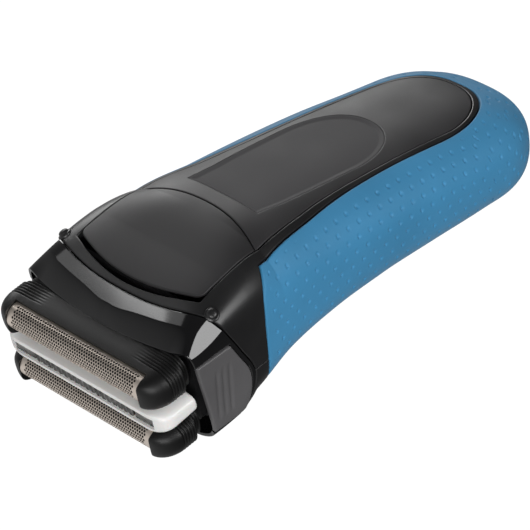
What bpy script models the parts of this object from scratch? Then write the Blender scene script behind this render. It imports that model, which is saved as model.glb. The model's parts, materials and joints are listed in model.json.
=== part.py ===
"""Cordless three-element foil shaver, lying on its front with its back and pop-out trimmer up.

Sizes are in millimetres and become metres when a mesh is made. X is the width (mirror symmetric), the
shaving head points to -Y, the foot to +Y, and Z is up. The origin is the middle of the footprint.
"""

import math

import bmesh
import bpy
import numpy as np
from mathutils import Matrix, Vector

MM = 0.001
GAP = 0.3                       # air between two neighbouring pieces

# Handle: stations along Y with the half width, top and bottom of the section there
STATIONS = (-70, -57, -44, -31, -12, 8, 28, 46, 62, 72)
HALF_WIDTH = (31.8, 31.7, 31.4, 30.4, 29.6, 29.2, 28.6, 27.5, 26.5, 25.9)
TOP = (31.5, 37.3, 41.2, 43.7, 41.6, 39.0, 36.0, 32.8, 30.2, 28.8)
BOTTOM = (-0.3, -0.3, 1.4, 4.6, 6.4, 5.6, 3.6, 1.1, -0.6, -1.0)   # cut flat at z = 0, where it rests
UPPER_POWER = ((-68, 9.5), (-56, 6.2), (-44, 4.6), (-32, 2.7), (-14, 2.5))   # how boxy the upper half is
LOWER_POWER = ((-52, 9.0), (-45, 5.2), (-30, 4.4), (10, 3.2), (34, 2.9), (52, 2.7))
UNDERSIDE_CROWN = 0.04          # the flat underside is this much hollow on its centre line, so its sides rest
UNDERSIDE_HALF = 22.0
FOOT_END = 81.5
FOOT_ROUNDING = 26.0            # length over which the foot rounds off
SECTION_POINTS = 30
ROW_STEP = 9.0
SKIN = 1.7                      # thickness of the outer covers
CHASSIS_INSET = (2.4, 3.6)      # outer and inner faces of the chassis, below the handle's surface
CHASSIS_START = -44.5
PARTING_Z = 14.0                # front and back housings meet here

# Outlines on the back, as (y, half width) pairs, closed by a rounded end
COVER_SIDE = ((-54, 23.1), (-34, 22.1), (-8, 18.3), (20, 16.8), (44, 16.2))
COVER_END = (44, 66.2, 2.2)     # start, apex and power of the rounded end
GRIP_SIDE = ((-46, 28.0), (-30, 24.4), (-18, 22.2), (0, 19.6), (16, 18.5), (38, 18.0))
GRIP_END = (38, 68.2, 2.5)
PANEL_FRONT = (-58.4, 4.8)      # apex and set-back of the trimmer panel's front edge
PANEL_REAR = (-28.6, -4.9)      # the same of its rear arc
RECESS = 1.3                    # dark gap in front of the trimmer panel
PANEL_LIFT = 0.9                # the panel's front stands this much proud
PANEL_LIFT_END = -46.0
PANEL_THIN = 0.7                # its thickness over the trimmer
TRIMMER_Y = (-57.6, -52.4)
TRIMMER_HALF = 18.5
TRIMMER_TEETH = 17
TRIMMER_SHEET = 0.45
TRIMMER_GAP = 0.15
THUMB_SIDE = ((-23.2, 13.0), (-6, 13.9), (12, 14.3))
THUMB_END = (12, 32.6, 2.2)
FRONT_PANEL_SIDE = ((-46, 15.0), (-10, 14.0), (30, 12.5))
FRONT_PANEL_END = (30, 52, 2.3)
GRIP_SEAM = ((0, -39.2), (9, -40.4), (20, -40.4), (28, -40.0), (33, -39.2), (37, -37.0), (41, -33.5))

# Seam between the head block and the handle
SEAM_CENTRE = -61.2
SEAM_SETBACK = 6.2              # how far the seam's ends lie behind its middle
SEAM_POWER = 2.5
SEAM_SIDE = ((0, 5.0), (8, 8.2), (14, 8.7), (23, 4.6), (33, 0.0), (45, 0.0))

# Head block and the parts in it, in a head frame: x, f (forward) and u (up) from its centre
HEAD_PITCH = math.radians(5.0)
HEAD_CENTRE = (0.0, -66.0, 16.9)
BLOCK_WALL = 1.3
LIP_WALL = 0.75                 # the block's wall at its mouth
MOUTH_CENTRE = -65.3            # y of the head block's mouth at z = 0, on the centre line
MOUTH_SLOPE = 0.161
MOUTH_SETBACK = 3.5
BUTTON_Y = (-80.0, -40.0)       # side release button, before the mouth and the seam trim it
BUTTON_Z = (3.4, 26.6)
CATCH = (28.0, -55.2, 36.5)
ELEMENT_PITCH = 8.5             # foil to middle trimmer
FOIL_RADIUS = 4.0
FOIL_CENTRE = 10.2
FOIL_LEG = 4.0                  # f where the foil's legs end
FOIL_HALF_LENGTH = 25.0
FOIL_SHEET = 0.35
FRAME_HALF_LENGTH = 30.4
FRAME_BACK = -1.0
FRAME_LIP = 9.6                 # f where the foil comes out of the frame
FRAME_NOSE = 13.9               # f of the frame's rounded ends
FRAME_ROUNDING = 2.8
FRAME_HALF_HEIGHT = 4.75
LOWER_FRAME_EXTRA = 1.2         # the lower foil's frame is this much taller on its outer side
MIDDLE_HALF_LENGTH = 30.1
MIDDLE_BACK = 0.8
MIDDLE_FRONT = 12.7
MIDDLE_HALF_HEIGHT = 3.3
COMB_HALF = (25.5, 1.7)
COMB_F = (11.2, 12.0)
COMB_SLOTS = 18
BLADES = 12
BLADE_RADIUS = 3.3
BLADE_ROOT = 2.2
CUTTER_HALF = 23.2
CUTTER_BACK = 5.5
PLATE_F = (-4.4, -2.8)          # cassette frame
CORE_F = (-6.4, -5.2)           # fixed plate inside the head block
BRIDGE_F = (-9.4, -7.4)
BRIDGE_HALF = (12.0, 11.0)
PIN_OFFSETS = {"upper": 8.5, "lower": -8.5}

# Drive
MOTOR_Z = 20.5
MOTOR_RADIUS = 9.6
MOTOR_Y = (-40.0, -13.0)
CRANK_RADIUS = 3.6
CRANK_Y = (-51.5, -46.5)
CRANK_THROW = 0.9
CRANK_PIN = 0.8
MOUNT_Y = (-44.0, -42.0)
CELL_RADIUS = 6.9
CELL_Y = (-7.0, 42.0)
CELL_Z = 20.5
BOARD_Z = 11.8
SWITCH_Y = (-5.5, 0.5)
BULKHEAD_Y = (-55.6, -54.2)
BULKHEAD_HALF = (26.0, 13.6)
BULKHEAD_Z = 19.0

# Controls on the front (underside)
POWER_Y = -13.0
POWER_RADIUS = 6.2
LENS_Y = 9.0
LENS_HALF = (5.0, 1.6)

# Socket in the foot
SOCKET_Z = 15.0
SOCKET_HALF = (5.8, 4.2)
SOCKET_Y = (66.0, 80.0)
POCKET_HALF = (4.3, 2.9)
POCKET_FLOOR = 69.0
PIN_TIP = 73.5
PIN_RADIUS = 0.7

COLOURS = {
    "black": ((0.018, 0.018, 0.020), 0.30, 0.0),
    "gloss_black": ((0.008, 0.008, 0.009), 0.10, 0.0),
    "dark_grey": ((0.050, 0.049, 0.052), 0.55, 0.0),
    "thumb_grey": ((0.075, 0.073, 0.077), 0.70, 0.0),
    "button_grey": ((0.088, 0.085, 0.088), 0.45, 0.0),
    "blue": ((0.045, 0.200, 0.390), 0.60, 0.0),
    "white": ((0.75, 0.75, 0.74), 0.35, 0.0),
    "steel": ((0.45, 0.42, 0.39), 0.30, 1.0),
    "copper": ((0.70, 0.45, 0.20), 0.35, 1.0),
    "green": ((0.02, 0.16, 0.07), 0.50, 0.0),
    "lens": ((0.60, 0.80, 0.70), 0.10, 0.0),
    "rubber": ((0.015, 0.015, 0.016), 0.80, 0.0),
}


# ---------------------------------------------------------------- helpers

def clear_scene():
    for item in list(bpy.data.objects):
        bpy.data.objects.remove(item, do_unlink=True)


def material(name):
    found = bpy.data.materials.get(name)
    if found:
        return found
    colour, roughness, metallic = COLOURS[name]
    made = bpy.data.materials.new(name)
    made.use_nodes = True
    shader = made.node_tree.nodes["Principled BSDF"]
    shader.inputs["Base Color"].default_value = (*colour, 1.0)
    shader.inputs["Roughness"].default_value = roughness
    shader.inputs["Metallic"].default_value = metallic
    return made


def curve(pairs, at):
    """A smooth curve through (position, value) pairs, with Catmull-Rom slopes."""
    xs = np.array([pair[0] for pair in pairs], float)
    ys = np.array([pair[1] for pair in pairs], float)
    slopes = np.gradient(ys, xs)
    at = min(max(at, xs[0]), xs[-1])
    k = min(max(int(np.searchsorted(xs, at)) - 1, 0), len(xs) - 2)
    span = xs[k + 1] - xs[k]
    t = (at - xs[k]) / span
    start = (2 * t ** 3 - 3 * t ** 2 + 1) * ys[k] + (t ** 3 - 2 * t ** 2 + t) * span * slopes[k]
    end = (3 * t ** 2 - 2 * t ** 3) * ys[k + 1] + (t ** 3 - t ** 2) * span * slopes[k + 1]
    return float(start + end)


def new_object(name, points, faces, colour, smooth=True):
    mesh = bpy.data.meshes.new(name)
    mesh.from_pydata([[c * MM for c in p] for p in points], [], faces)
    shaped = bmesh.new()
    shaped.from_mesh(mesh)
    bmesh.ops.remove_doubles(shaped, verts=shaped.verts, dist=1e-6)
    bmesh.ops.recalc_face_normals(shaped, faces=shaped.faces)
    shaped.to_mesh(mesh)
    shaped.free()
    if smooth:
        mesh.shade_smooth()
        mesh.set_sharp_from_angle(angle=math.radians(35))
    item = bpy.data.objects.new(name, mesh)
    if colour:
        mesh.materials.append(material(colour))
    bpy.context.scene.collection.objects.link(item)
    return item


def hide_helper(item):
    item.hide_render = True
    item.display_type = "WIRE"
    return item


def boolean(item, cutter, operation="DIFFERENCE"):
    modifier = item.modifiers.new(operation.title(), "BOOLEAN")
    modifier.operation = operation
    modifier.object = cutter
    return item


def loft(name, rings, colour, closed_ends=True, smooth=True):
    """A solid through rings of equal point count, closed by a flat face at each end."""
    count = len(rings[0])
    points = [p for ring in rings for p in ring]
    faces = []
    for r in range(len(rings) - 1):
        for k in range(count):
            n = (k + 1) % count
            faces.append((r * count + k, r * count + n, (r + 1) * count + n, (r + 1) * count + k))
    if closed_ends:
        faces.append(tuple(range(count))[::-1])
        faces.append(tuple(range((len(rings) - 1) * count, len(rings) * count)))
    return new_object(name, points, faces, colour, smooth)


def prism(name, outline, low, high, colour=None, axes="xyz"):
    """An outline in the first two of axes, extruded from low to high along the third."""
    order = ["xyz".index(letter) for letter in axes]
    rings = []
    for level in (low, high):
        ring = []
        for a, b in outline:
            point = [0.0, 0.0, 0.0]
            point[order[0]], point[order[1]], point[order[2]] = a, b, level
            ring.append(point)
        rings.append(ring)
    return loft(name, rings, colour, smooth=False)


def rounded_rectangle(half_a, half_b, radius, centre=(0.0, 0.0), steps=4):
    points = []
    for quarter, (sa, sb) in enumerate(((1, 1), (-1, 1), (-1, -1), (1, -1))):
        for k in range(steps + 1):
            angle = math.radians(90) * (quarter + k / steps)
            points.append((centre[0] + sa * (half_a - radius) + radius * math.cos(angle),
                           centre[1] + sb * (half_b - radius) + radius * math.sin(angle)))
    return points


def circle(radius, steps, centre=(0.0, 0.0)):
    turn = 2 * math.pi / steps
    return [(centre[0] + radius * math.cos(turn * k), centre[1] + radius * math.sin(turn * k))
            for k in range(steps)]


def box(name, low, high, colour):
    outline = [(low[0], low[1]), (high[0], low[1]), (high[0], high[1]), (low[0], high[1])]
    return prism(name, outline, low[2], high[2], colour)


# ---------------------------------------------------------------- handle surface

def section(y, inset):
    """Half width, top, bottom, and powers of the handle's section at y, moved inward by inset."""
    end = FOOT_END - inset
    start = FOOT_END - FOOT_ROUNDING
    u = min(max((y - start) / (end - start), 0.0), 1.0)
    shrink = max(1 - u ** 2.4, 0.0) ** (1 / 2.2)
    half = curve(list(zip(STATIONS, HALF_WIDTH)), y) - inset
    top = curve(list(zip(STATIONS, TOP)), y) - inset
    bottom = curve(list(zip(STATIONS, BOTTOM)), y) + inset
    middle = (top + bottom) / 2
    top = middle + (top - middle) * shrink
    bottom = middle - (middle - bottom) * shrink
    powers = [np.interp(y, *zip(*table)) for table in (UPPER_POWER, LOWER_POWER)]
    return half * shrink, top, bottom, powers


def ring_at(y, inset, count=SECTION_POINTS):
    half, top, bottom, (upper, lower) = section(y, inset)
    centre = (top + bottom) / 2
    ring = []
    for k in range(count):
        angle = 2 * math.pi * k / count
        c, s = math.cos(angle), math.sin(angle)
        power = upper if s >= 0 else lower
        x = half * math.copysign(abs(c) ** (2 / power), c)
        z = centre + (top - centre) * math.copysign(abs(s) ** (2 / power), s)
        crown = UNDERSIDE_CROWN * max(0.0, 1 - (x / UNDERSIDE_HALF) ** 2)
        ring.append((x, y, max(z, inset + crown)))
    return ring


def rows(start, inset):
    """Stations from start to the foot, closer together where the foot rounds off."""
    straight_end = FOOT_END - FOOT_ROUNDING
    steps = round((straight_end - start) / ROW_STEP)
    straight = [start + (straight_end - start) * k / steps for k in range(steps)]
    span = FOOT_END - inset - straight_end
    angles = [math.radians(90) * k / 6 for k in range(6)]
    return straight + [straight_end + span * math.sin(a) for a in angles]


def handle_shell(name, start, outer, inner, colour):
    """The handle's wall between two insets: open at the neck, closed round the foot."""
    outer_rings = [ring_at(y, outer) for y in rows(start, outer)]
    inner_rings = [ring_at(y, inner) for y in rows(start, inner)]
    count = SECTION_POINTS
    rings = outer_rings[::-1] + inner_rings
    points = [p for ring in rings for p in ring]
    faces = []
    for r in range(len(rings) - 1):
        for k in range(count):
            n = (k + 1) % count
            faces.append((r * count + k, r * count + n, (r + 1) * count + n, (r + 1) * count + k))
    for ring_index, inset in ((0, outer), (len(rings) - 1, inner)):
        y = FOOT_END - inset
        half, top, bottom, _ = section(y, inset)
        points.append((0.0, y, (top + bottom) / 2))
        for k in range(count):
            n = (k + 1) % count
            faces.append((ring_index * count + k, ring_index * count + n, len(points) - 1))
    # the two shells meet at the neck, where the last outer ring and the first inner ring join
    return new_object(name, points, faces, colour)


def top_at(x, y, inset=0.0):
    half, top, bottom, (upper, _) = section(y, inset)
    centre = (top + bottom) / 2
    return centre + (top - centre) * max(1 - abs(x / half) ** upper, 0.0) ** (1 / upper)


def bow(line, x, offset=0.0):
    """y of a bowed line across the back, as (apex, set-back at the panel's corner)."""
    apex, setback = line
    return apex + offset + setback * (x / COVER_SIDE[0][1]) ** 2


def side_outline(side, end, offset=0.0, steps=8, front=None):
    """An outline on the back: down its right side, round its end, up the left, across its front."""
    start, apex, power = end
    width = side[-1][1] + offset
    right = []
    for (y0, _), (y1, _) in zip(side[:-1], side[1:]):
        right += [(curve(side, y0 + (y1 - y0) * k / 3) + offset, y0 + (y1 - y0) * k / 3)
                  for k in range(3)]
    for k in range(steps):
        angle = math.radians(90) * k / steps
        right.append((width * math.cos(angle) ** (2 / power),
                      start + (apex + offset - start) * math.sin(angle) ** (2 / power)))
    outline = right + [(0.0, apex + offset)] + [(-x, y) for x, y in reversed(right)]
    if front:
        half = right[0][0]
        outline += [(x, bow(front[0], x, front[1])) for x in np.linspace(-half, half, 9)]
    return outline


def half_space_front_of(name, surface, offset, far=-95.0):
    """A block that fills the space in front of y = surface(x, z) + offset."""
    xs = np.linspace(-40, 40, 17)
    zs = np.linspace(-6, 54, 13)
    rings = []
    for z in zs:
        near = [(x, surface(x, z) + offset, z) for x in xs]
        rings.append(near + [(x, far, z) for x in reversed(xs)])
    return hide_helper(loft(name, rings, None, smooth=False))


def seam_surface(x, z):
    return SEAM_CENTRE + SEAM_SETBACK * abs(x / 31.0) ** SEAM_POWER + curve(SEAM_SIDE, z)


def mouth_surface(x, z):
    return MOUTH_CENTRE - MOUTH_SLOPE * z + MOUTH_SETBACK * (x / 31.3) ** 2


def button_rear_surface(_, z):
    """The rim behind a release button. It is square to the side, so that the button clears it as it swings in."""
    return seam_surface(31.3, z) - 1.4


def grip_seam_surface(_, z):
    return curve(GRIP_SEAM, z)


# ---------------------------------------------------------------- handle pieces

def build_handle():
    front_of_seam = half_space_front_of("cut_seam", seam_surface, GAP / 2)
    front_of_grip = half_space_front_of("cut_grip_front", grip_seam_surface, GAP / 2)
    neck_only = half_space_front_of("keep_neck", grip_seam_surface, -GAP / 2)
    cover_hole = side_outline(COVER_SIDE, COVER_END, GAP / 2, front=(PANEL_FRONT, -RECESS))
    cut_cover = hide_helper(prism("cut_cover", cover_hole, 20, 60))
    strip = side_outline(GRIP_SIDE, GRIP_END, -GAP / 2)
    strip_hole = side_outline(GRIP_SIDE, GRIP_END, GAP / 2)
    front_strip = side_outline(FRONT_PANEL_SIDE, FRONT_PANEL_END, -GAP / 2)
    front_strip_hole = side_outline(FRONT_PANEL_SIDE, FRONT_PANEL_END, GAP / 2)

    grip = handle_shell("soft_grip", -60, 0.0, SKIN, "blue")
    boolean(grip, front_of_grip)
    boolean(grip, hide_helper(prism("cut_strip", strip_hole, 20, 60)))
    boolean(grip, hide_helper(prism("cut_front_strip", front_strip_hole, -20, 12)))
    boolean(grip, hide_helper(prism("cut_socket", rounded_rectangle(
        SOCKET_HALF[0] + GAP, SOCKET_HALF[1] + GAP, 1.5, (0, SOCKET_Z)), 60, 95, axes="xzy")))

    frame = handle_shell("back_frame", -66, 0.0, SKIN, "black")
    keep = hide_helper(prism("keep_strip", strip, 20, 60))
    boolean(keep, neck_only, "UNION")
    boolean(frame, keep, "INTERSECT")
    boolean(frame, cut_cover)
    boolean(frame, hide_helper(box("cut_below", (-60, -99, -20), (60, 99, PARTING_Z + GAP / 2), None)))
    boolean(frame, front_of_seam)

    front = handle_shell("front_housing", -66, 0.0, SKIN, "black")
    keep = hide_helper(prism("keep_front_strip", front_strip, -20, 12))
    boolean(keep, neck_only, "UNION")
    boolean(front, keep, "INTERSECT")
    boolean(front, hide_helper(box("cut_above", (-60, -99, PARTING_Z - GAP / 2), (60, 99, 60), None)))
    boolean(front, front_of_seam)
    return front


def build_back_cover():
    cover = handle_shell("back_cover", -50, 0.0, SKIN, "dark_grey")
    outline = side_outline(COVER_SIDE, COVER_END, -GAP / 2)
    boolean(cover, hide_helper(prism("keep_cover", outline, 20, 60)), "INTERSECT")
    arc = [(x, bow(PANEL_REAR, x, GAP / 2)) for x in np.linspace(30, -30, 11)]
    front = arc + [(-30, -80), (30, -80)]
    boolean(cover, hide_helper(prism("cut_arc", front, 10, 60)))
    thumb = side_outline(THUMB_SIDE, THUMB_END, GAP / 2)
    boolean(cover, hide_helper(prism("cut_thumb", thumb, 10, 60)))

    pad = handle_shell("thumb_rest", -50, 0.35, SKIN, "thumb_grey")
    thumb = side_outline(THUMB_SIDE, THUMB_END, -GAP / 2)
    boolean(pad, hide_helper(prism("keep_thumb", thumb, 20, 60)), "INTERSECT")


def build_chassis():
    upper = handle_shell("chassis_back", CHASSIS_START, *CHASSIS_INSET, "dark_grey")
    lower = handle_shell("chassis_front", CHASSIS_START, *CHASSIS_INSET, "dark_grey")
    boolean(upper, hide_helper(box("cut_low", (-60, -99, -20), (60, 99, PARTING_Z + GAP / 2), None)))
    boolean(lower, hide_helper(box("cut_high", (-60, -99, PARTING_Z - GAP / 2), (60, 99, 60), None)))
    return upper, lower


def handle_tube(name, start, end, colour):
    """A short stretch of the handle's wall, open at both ends and thinner towards the mouth."""
    stations = np.linspace(start, end, 7)
    rings = [ring_at(y, 0.0) for y in stations]
    for y in stations[::-1]:
        rings.append(ring_at(y, np.interp(y, (-70, -62), (LIP_WALL, BLOCK_WALL))))
    return loft(name, rings + rings[:1], colour, closed_ends=False)


def build_trimmer():
    """The panel on the back that slides forward and up, with the long-hair trimmer under its front."""
    edge_half = curve(COVER_SIDE, -54) - GAP / 2
    columns = np.linspace(-1, 1, 11)
    steps = np.linspace(0, 1, 9)

    def place(c, s):
        edge_y = bow(PANEL_FRONT, edge_half) * (1 - s) + bow(PANEL_REAR, edge_half, -GAP / 2) * s
        x = c * (curve(COVER_SIDE, edge_y) - GAP / 2)
        y = bow(PANEL_FRONT, x) * (1 - s) + bow(PANEL_REAR, x, -GAP / 2) * s
        return x, y

    def lift(y):
        return PANEL_LIFT * min(max((PANEL_LIFT_END - y) / 12.0, 0.0), 1.0)

    upper, lower = [], []
    for s in steps:
        for c in columns:
            x, y = place(c, s)
            top = top_at(x, y) + lift(y)
            thick = PANEL_THIN if y < TRIMMER_Y[1] + 5.0 else SKIN
            upper.append((x, y, top))
            lower.append((x, y, top - thick))
    count = len(columns)
    total = len(upper)
    faces = []
    for r in range(len(steps) - 1):
        for k in range(count - 1):
            a, b = r * count + k, r * count + k + 1
            faces.append((a, b, b + count, a + count))
            faces.append((total + a, total + a + count, total + b + count, total + b))
    border = list(range(count)) + [r * count + count - 1 for r in range(1, len(steps))]
    border += [total - 1 - k for k in range(1, count)]
    border += [r * count for r in range(len(steps) - 2, 0, -1)]
    for a, b in zip(border, border[1:] + border[:1]):
        faces.append((a, total + a, total + b, b))
    panel = new_object("trimmer_panel", upper + lower, faces, "dark_grey")

    slope = math.atan2(top_at(0, TRIMMER_Y[1]) - top_at(0, TRIMMER_Y[0]) - lift(TRIMMER_Y[0])
                       + lift(TRIMMER_Y[1]), TRIMMER_Y[1] - TRIMMER_Y[0])
    hinge_z = top_at(TRIMMER_HALF, TRIMMER_Y[0]) + lift(TRIMMER_Y[0]) - PANEL_THIN
    for name, level, half in (("trimmer_comb", 1, TRIMMER_HALF),
                              ("trimmer_blade", 2, TRIMMER_HALF - 1.3)):
        pitch = 2 * half / (2 * TRIMMER_TEETH - 1)
        depth = TRIMMER_Y[1] - TRIMMER_Y[0]
        outline = [(half, depth), (-half, depth)]
        tip, root = (0.0, 1.9) if name == "trimmer_comb" else (0.4, 1.5)
        for k in range(2 * TRIMMER_TEETH - 1):
            start = -half + k * pitch
            reach = root if k % 2 else tip
            outline += [(x, reach + bow(PANEL_FRONT, x) - PANEL_FRONT[0])
                        for x in (start + 0.01 * pitch, start + 0.99 * pitch)]
        low = -level * (TRIMMER_SHEET + TRIMMER_GAP)
        sheet = prism(name, outline, low, low + TRIMMER_SHEET, "steel")
        sheet.location = Vector((0, TRIMMER_Y[0], hinge_z)) * MM
        sheet.rotation_euler = (slope, 0, 0)
    return panel


def head_frame():
    c, s = math.cos(HEAD_PITCH), math.sin(HEAD_PITCH)
    rotation = Matrix(((1, 0, 0), (0, -c, -s), (0, -s, c)))
    return rotation


def teeth(half, count, width):
    """(x, is a tooth) at both edges of each tooth and each gap in a row from -half to half."""
    pitch = 2 * half / (count - 1 + width)
    edges = []
    for k in range(count):
        start = -half + k * pitch
        edges += [(start, True), (start + width * pitch, True)]
        if k < count - 1:
            edges += [(start + (width + 0.01) * pitch, False), (start + 0.99 * pitch, False)]
    return edges


def to_head(item):
    """Places a piece made in head coordinates (x, f, u)."""
    rotation = head_frame().to_4x4()
    item.data.transform(rotation)
    if rotation.determinant() < 0:
        item.data.flip_normals()
    item.location = Vector(HEAD_CENTRE) * MM
    return item


def build_head_block():
    behind_mouth = half_space_front_of("cut_mouth", mouth_surface, 0.0)
    before_seam = half_space_front_of("keep_head", seam_surface, -GAP / 2)
    block = handle_tube("head_block", -78, -44, "gloss_black")
    boolean(block, before_seam, "INTERSECT")
    boolean(block, behind_mouth)
    middle = ((BUTTON_Y[0] + BUTTON_Y[1]) / 2, (BUTTON_Z[0] + BUTTON_Z[1]) / 2)
    half = ((BUTTON_Y[1] - BUTTON_Y[0]) / 2, (BUTTON_Z[1] - BUTTON_Z[0]) / 2)
    hole = rounded_rectangle(half[0] + GAP, half[1] + GAP, 2.5, middle)
    face = rounded_rectangle(half[0], half[1], 2.2, middle)
    before_button = half_space_front_of("keep_button", button_rear_surface, -GAP)
    rear_rim = half_space_front_of("cut_button_rear", button_rear_surface, 0.0)
    button_mouth = half_space_front_of("cut_button_mouth", mouth_surface, 0.2)
    for side, sign in (("right", 1), ("left", -1)):
        low, high = (22, 40) if sign > 0 else (-40, -22)
        window = hide_helper(prism(f"window_{side}", hole, low, high, axes="yzx"))
        boolean(window, rear_rim, "INTERSECT")
        boolean(block, window)
        button = handle_tube(f"release_button_{side}", -78, -42, "button_grey")
        boolean(button, before_button, "INTERSECT")
        boolean(button, button_mouth)
        keep = hide_helper(prism(f"keep_face_{side}", face, low, high, axes="yzx"))
        boolean(button, keep, "INTERSECT")
    return block


def build_catches():
    """Two small round catches on the back's front corners."""
    for side, sign in (("right", 1), ("left", -1)):
        rings = []
        for height, radius in ((0.0, 1.5), (0.5, 1.5), (0.9, 1.1), (1.1, 0.5)):
            rings.append([(x, y, height) for x, y in circle(radius, 12)])
        catch = loft(f"catch_{side}", rings, "black")
        catch.rotation_euler = (0.1, sign * 0.75, 0)
        catch.location = Vector((sign * CATCH[0], CATCH[1], CATCH[2])) * MM
    return catch


def plan_outline(half, back, front, radius, steps=5):
    """A bar seen from above in (x, f): square at the back, rounded at its front corners."""
    points = [(-half, back), (half, back)]
    for k in range(steps + 1):
        angle = math.radians(90) * k / steps
        points.append((half - radius + radius * math.cos(angle),
                       front - radius + radius * math.sin(angle)))
    points += [(-x, f) for x, f in reversed(points[2:])]
    return points


def bar(name, half, back, front, radius, half_height, rounding, centre, colour):
    """A bar across the head, with rounded ends in plan and softened upper and lower edges."""
    turns = [math.radians(90) * k / 4 for k in range(5)]
    edge = [(half_height - rounding * (1 - math.sin(a)), rounding * (1 - math.cos(a))) for a in turns]
    rings = []
    for u, inset in [(-u, inset) for u, inset in reversed(edge)] + edge:
        outline = plan_outline(half - inset, back, front - inset, radius)
        rings.append([(x, f, centre + u) for x, f in outline])
    return loft(name, rings, colour)


def head_box(name, low, high):
    return hide_helper(to_head(box(name, low, high, None)))


def build_foil_element(place, centre):
    extra = LOWER_FRAME_EXTRA / 2 if place == "lower" else 0.0
    frame = bar(f"foil_frame_{place}", FRAME_HALF_LENGTH, FRAME_BACK, FRAME_NOSE, 5.0,
                FRAME_HALF_HEIGHT + extra, FRAME_ROUNDING, centre - extra, "rubber")
    to_head(frame)
    inside = FOIL_HALF_LENGTH + GAP
    tall = FOIL_RADIUS + GAP
    boolean(frame, head_box(f"pocket_{place}", (-inside, -5, centre - tall), (inside, 20, centre + tall)))
    boolean(frame, head_box(f"lip_{place}", (-inside, FRAME_LIP, centre - 9), (inside, 20, centre + 9)))

    profile = []
    for radius, turns in ((FOIL_RADIUS, range(0, 9)), (FOIL_RADIUS - FOIL_SHEET, range(8, -1, -1))):
        arc = [(FOIL_CENTRE + radius * math.sin(math.pi * k / 8), centre - radius * math.cos(math.pi * k / 8))
               for k in turns]
        legs = [(FOIL_LEG, arc[0][1]), (FOIL_LEG, arc[-1][1])]
        profile += [legs[0]] + arc + [legs[1]]
    rings = [[(x, f, u) for f, u in profile] for x in (-FOIL_HALF_LENGTH, FOIL_HALF_LENGTH)]
    to_head(loft(f"foil_{place}", rings, "steel"))
    build_cutter(place, centre)
    spring = [(-22, 0.5), (-20, 0.5), (-10, -0.7), (10, -0.7), (20, 0.5), (22, 0.5)]
    strip = spring + [(x, f - 0.35) for x, f in reversed(spring)]
    to_head(prism(f"float_spring_{place}", strip, centre - 3.2, centre - 1.8, "steel"))


def build_cutter(place, centre):
    """A row of half-round blades on one carrier."""
    rings = []
    for x, high in teeth(CUTTER_HALF, BLADES, 0.35):
        radius = BLADE_RADIUS if high else BLADE_ROOT
        arc = [(x, FOIL_CENTRE - 0.2 + radius * math.sin(math.pi * t / 5),
                centre - radius * math.cos(math.pi * t / 5)) for t in range(6)]
        rings.append([(x, CUTTER_BACK, centre - BLADE_ROOT)] + arc
                     + [(x, CUTTER_BACK, centre + BLADE_ROOT)])
    to_head(loft(f"cutter_block_{place}", rings, "steel"))


def build_middle_element():
    frame = bar("middle_frame", MIDDLE_HALF_LENGTH, MIDDLE_BACK, MIDDLE_FRONT, 5.5,
                MIDDLE_HALF_HEIGHT, 1.2, 0.0, "white")
    to_head(frame)
    half, tall = COMB_HALF[0] + GAP, COMB_HALF[1] + GAP
    boolean(frame, head_box("pocket_middle", (-half, -5, -tall), (half, 20, tall)))
    comb = to_head(box("middle_comb", (-COMB_HALF[0], COMB_F[0], -COMB_HALF[1]),
                       (COMB_HALF[0], COMB_F[1], COMB_HALF[1]), "steel"))
    pitch = (COMB_HALF[0] - 3.5) * 2 / COMB_SLOTS
    for k in range(COMB_SLOTS):
        x = -COMB_HALF[0] + 3.5 + (k + 0.25) * pitch
        slot = head_box(f"slot_{k}", (x, 5, -1.2), (x + pitch * 0.5, 20, 1.2))
        boolean(comb, slot)
    rings = []
    for x, high in teeth(COMB_HALF[0] - 3.0, COMB_SLOTS, 0.5):
        f = COMB_F[0] - GAP if high else COMB_F[0] - 1.6
        rings.append([(x, 8.2, -1.2), (x, f, -1.2), (x, f, 1.2), (x, 8.2, 1.2)])
    to_head(loft("middle_blade", rings, "steel", smooth=False))
    spring = [(-24.5, 0.5), (-23, 0.5), (-16, -0.7), (16, -0.7), (23, 0.5), (24.5, 0.5)]
    strip = spring + [(x, f - 0.35) for x, f in reversed(spring)]
    to_head(prism("float_spring_middle", strip, 2.1, 2.9, "steel"))


def build_head_inside():
    """The cassette frame, the head's core plate, and the bridge that swings the cutters."""
    plate = to_head(prism("cassette_frame", rounded_rectangle(27.2, 12.8, 3.0, (0, 0)),
                          *PLATE_F, "black", axes="xzy"))
    core = to_head(prism("head_core", rounded_rectangle(27.6, 13.2, 3.0, (0, 0)), *CORE_F, "black",
                         axes="xzy"))
    window = head_box("cut_drive", (-5, -12, -11), (5, 4, 11))
    for item in (plate, core):
        boolean(item, window)
    bridge = to_head(prism("drive_bridge", rounded_rectangle(*BRIDGE_HALF, 2.0), *BRIDGE_F, "white",
                           axes="xzy"))
    slot = hide_helper(box("cut_slot", (-2.9, -80, MOTOR_Z - 2.0), (2.9, -40, MOTOR_Z + 2.0), None))
    boolean(bridge, slot)
    for place, offset in PIN_OFFSETS.items():
        to_head(prism(f"drive_pin_{place}", circle(1.2, 12, (0, offset)), BRIDGE_F[1] + GAP, 3.6,
                      "steel", axes="xzy"))
    to_head(prism("drive_pin_middle", circle(0.9, 10, (0, 0)), BRIDGE_F[1] + GAP, 6.4,
                  "steel", axes="xzy"))
    for side, sign in (("right", 1), ("left", -1)):
        x = sign * 15.0
        to_head(box(f"bridge_spring_{side}", (x - 0.2, -9.0, -9), (x + 0.2, -6.8, 9), "steel"))


def tube_along_y(name, radius, low, high, centre, colour, steps=20):
    outline = circle(radius, steps, centre)
    return prism(name, outline, low, high, colour, axes="xzy")


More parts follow.
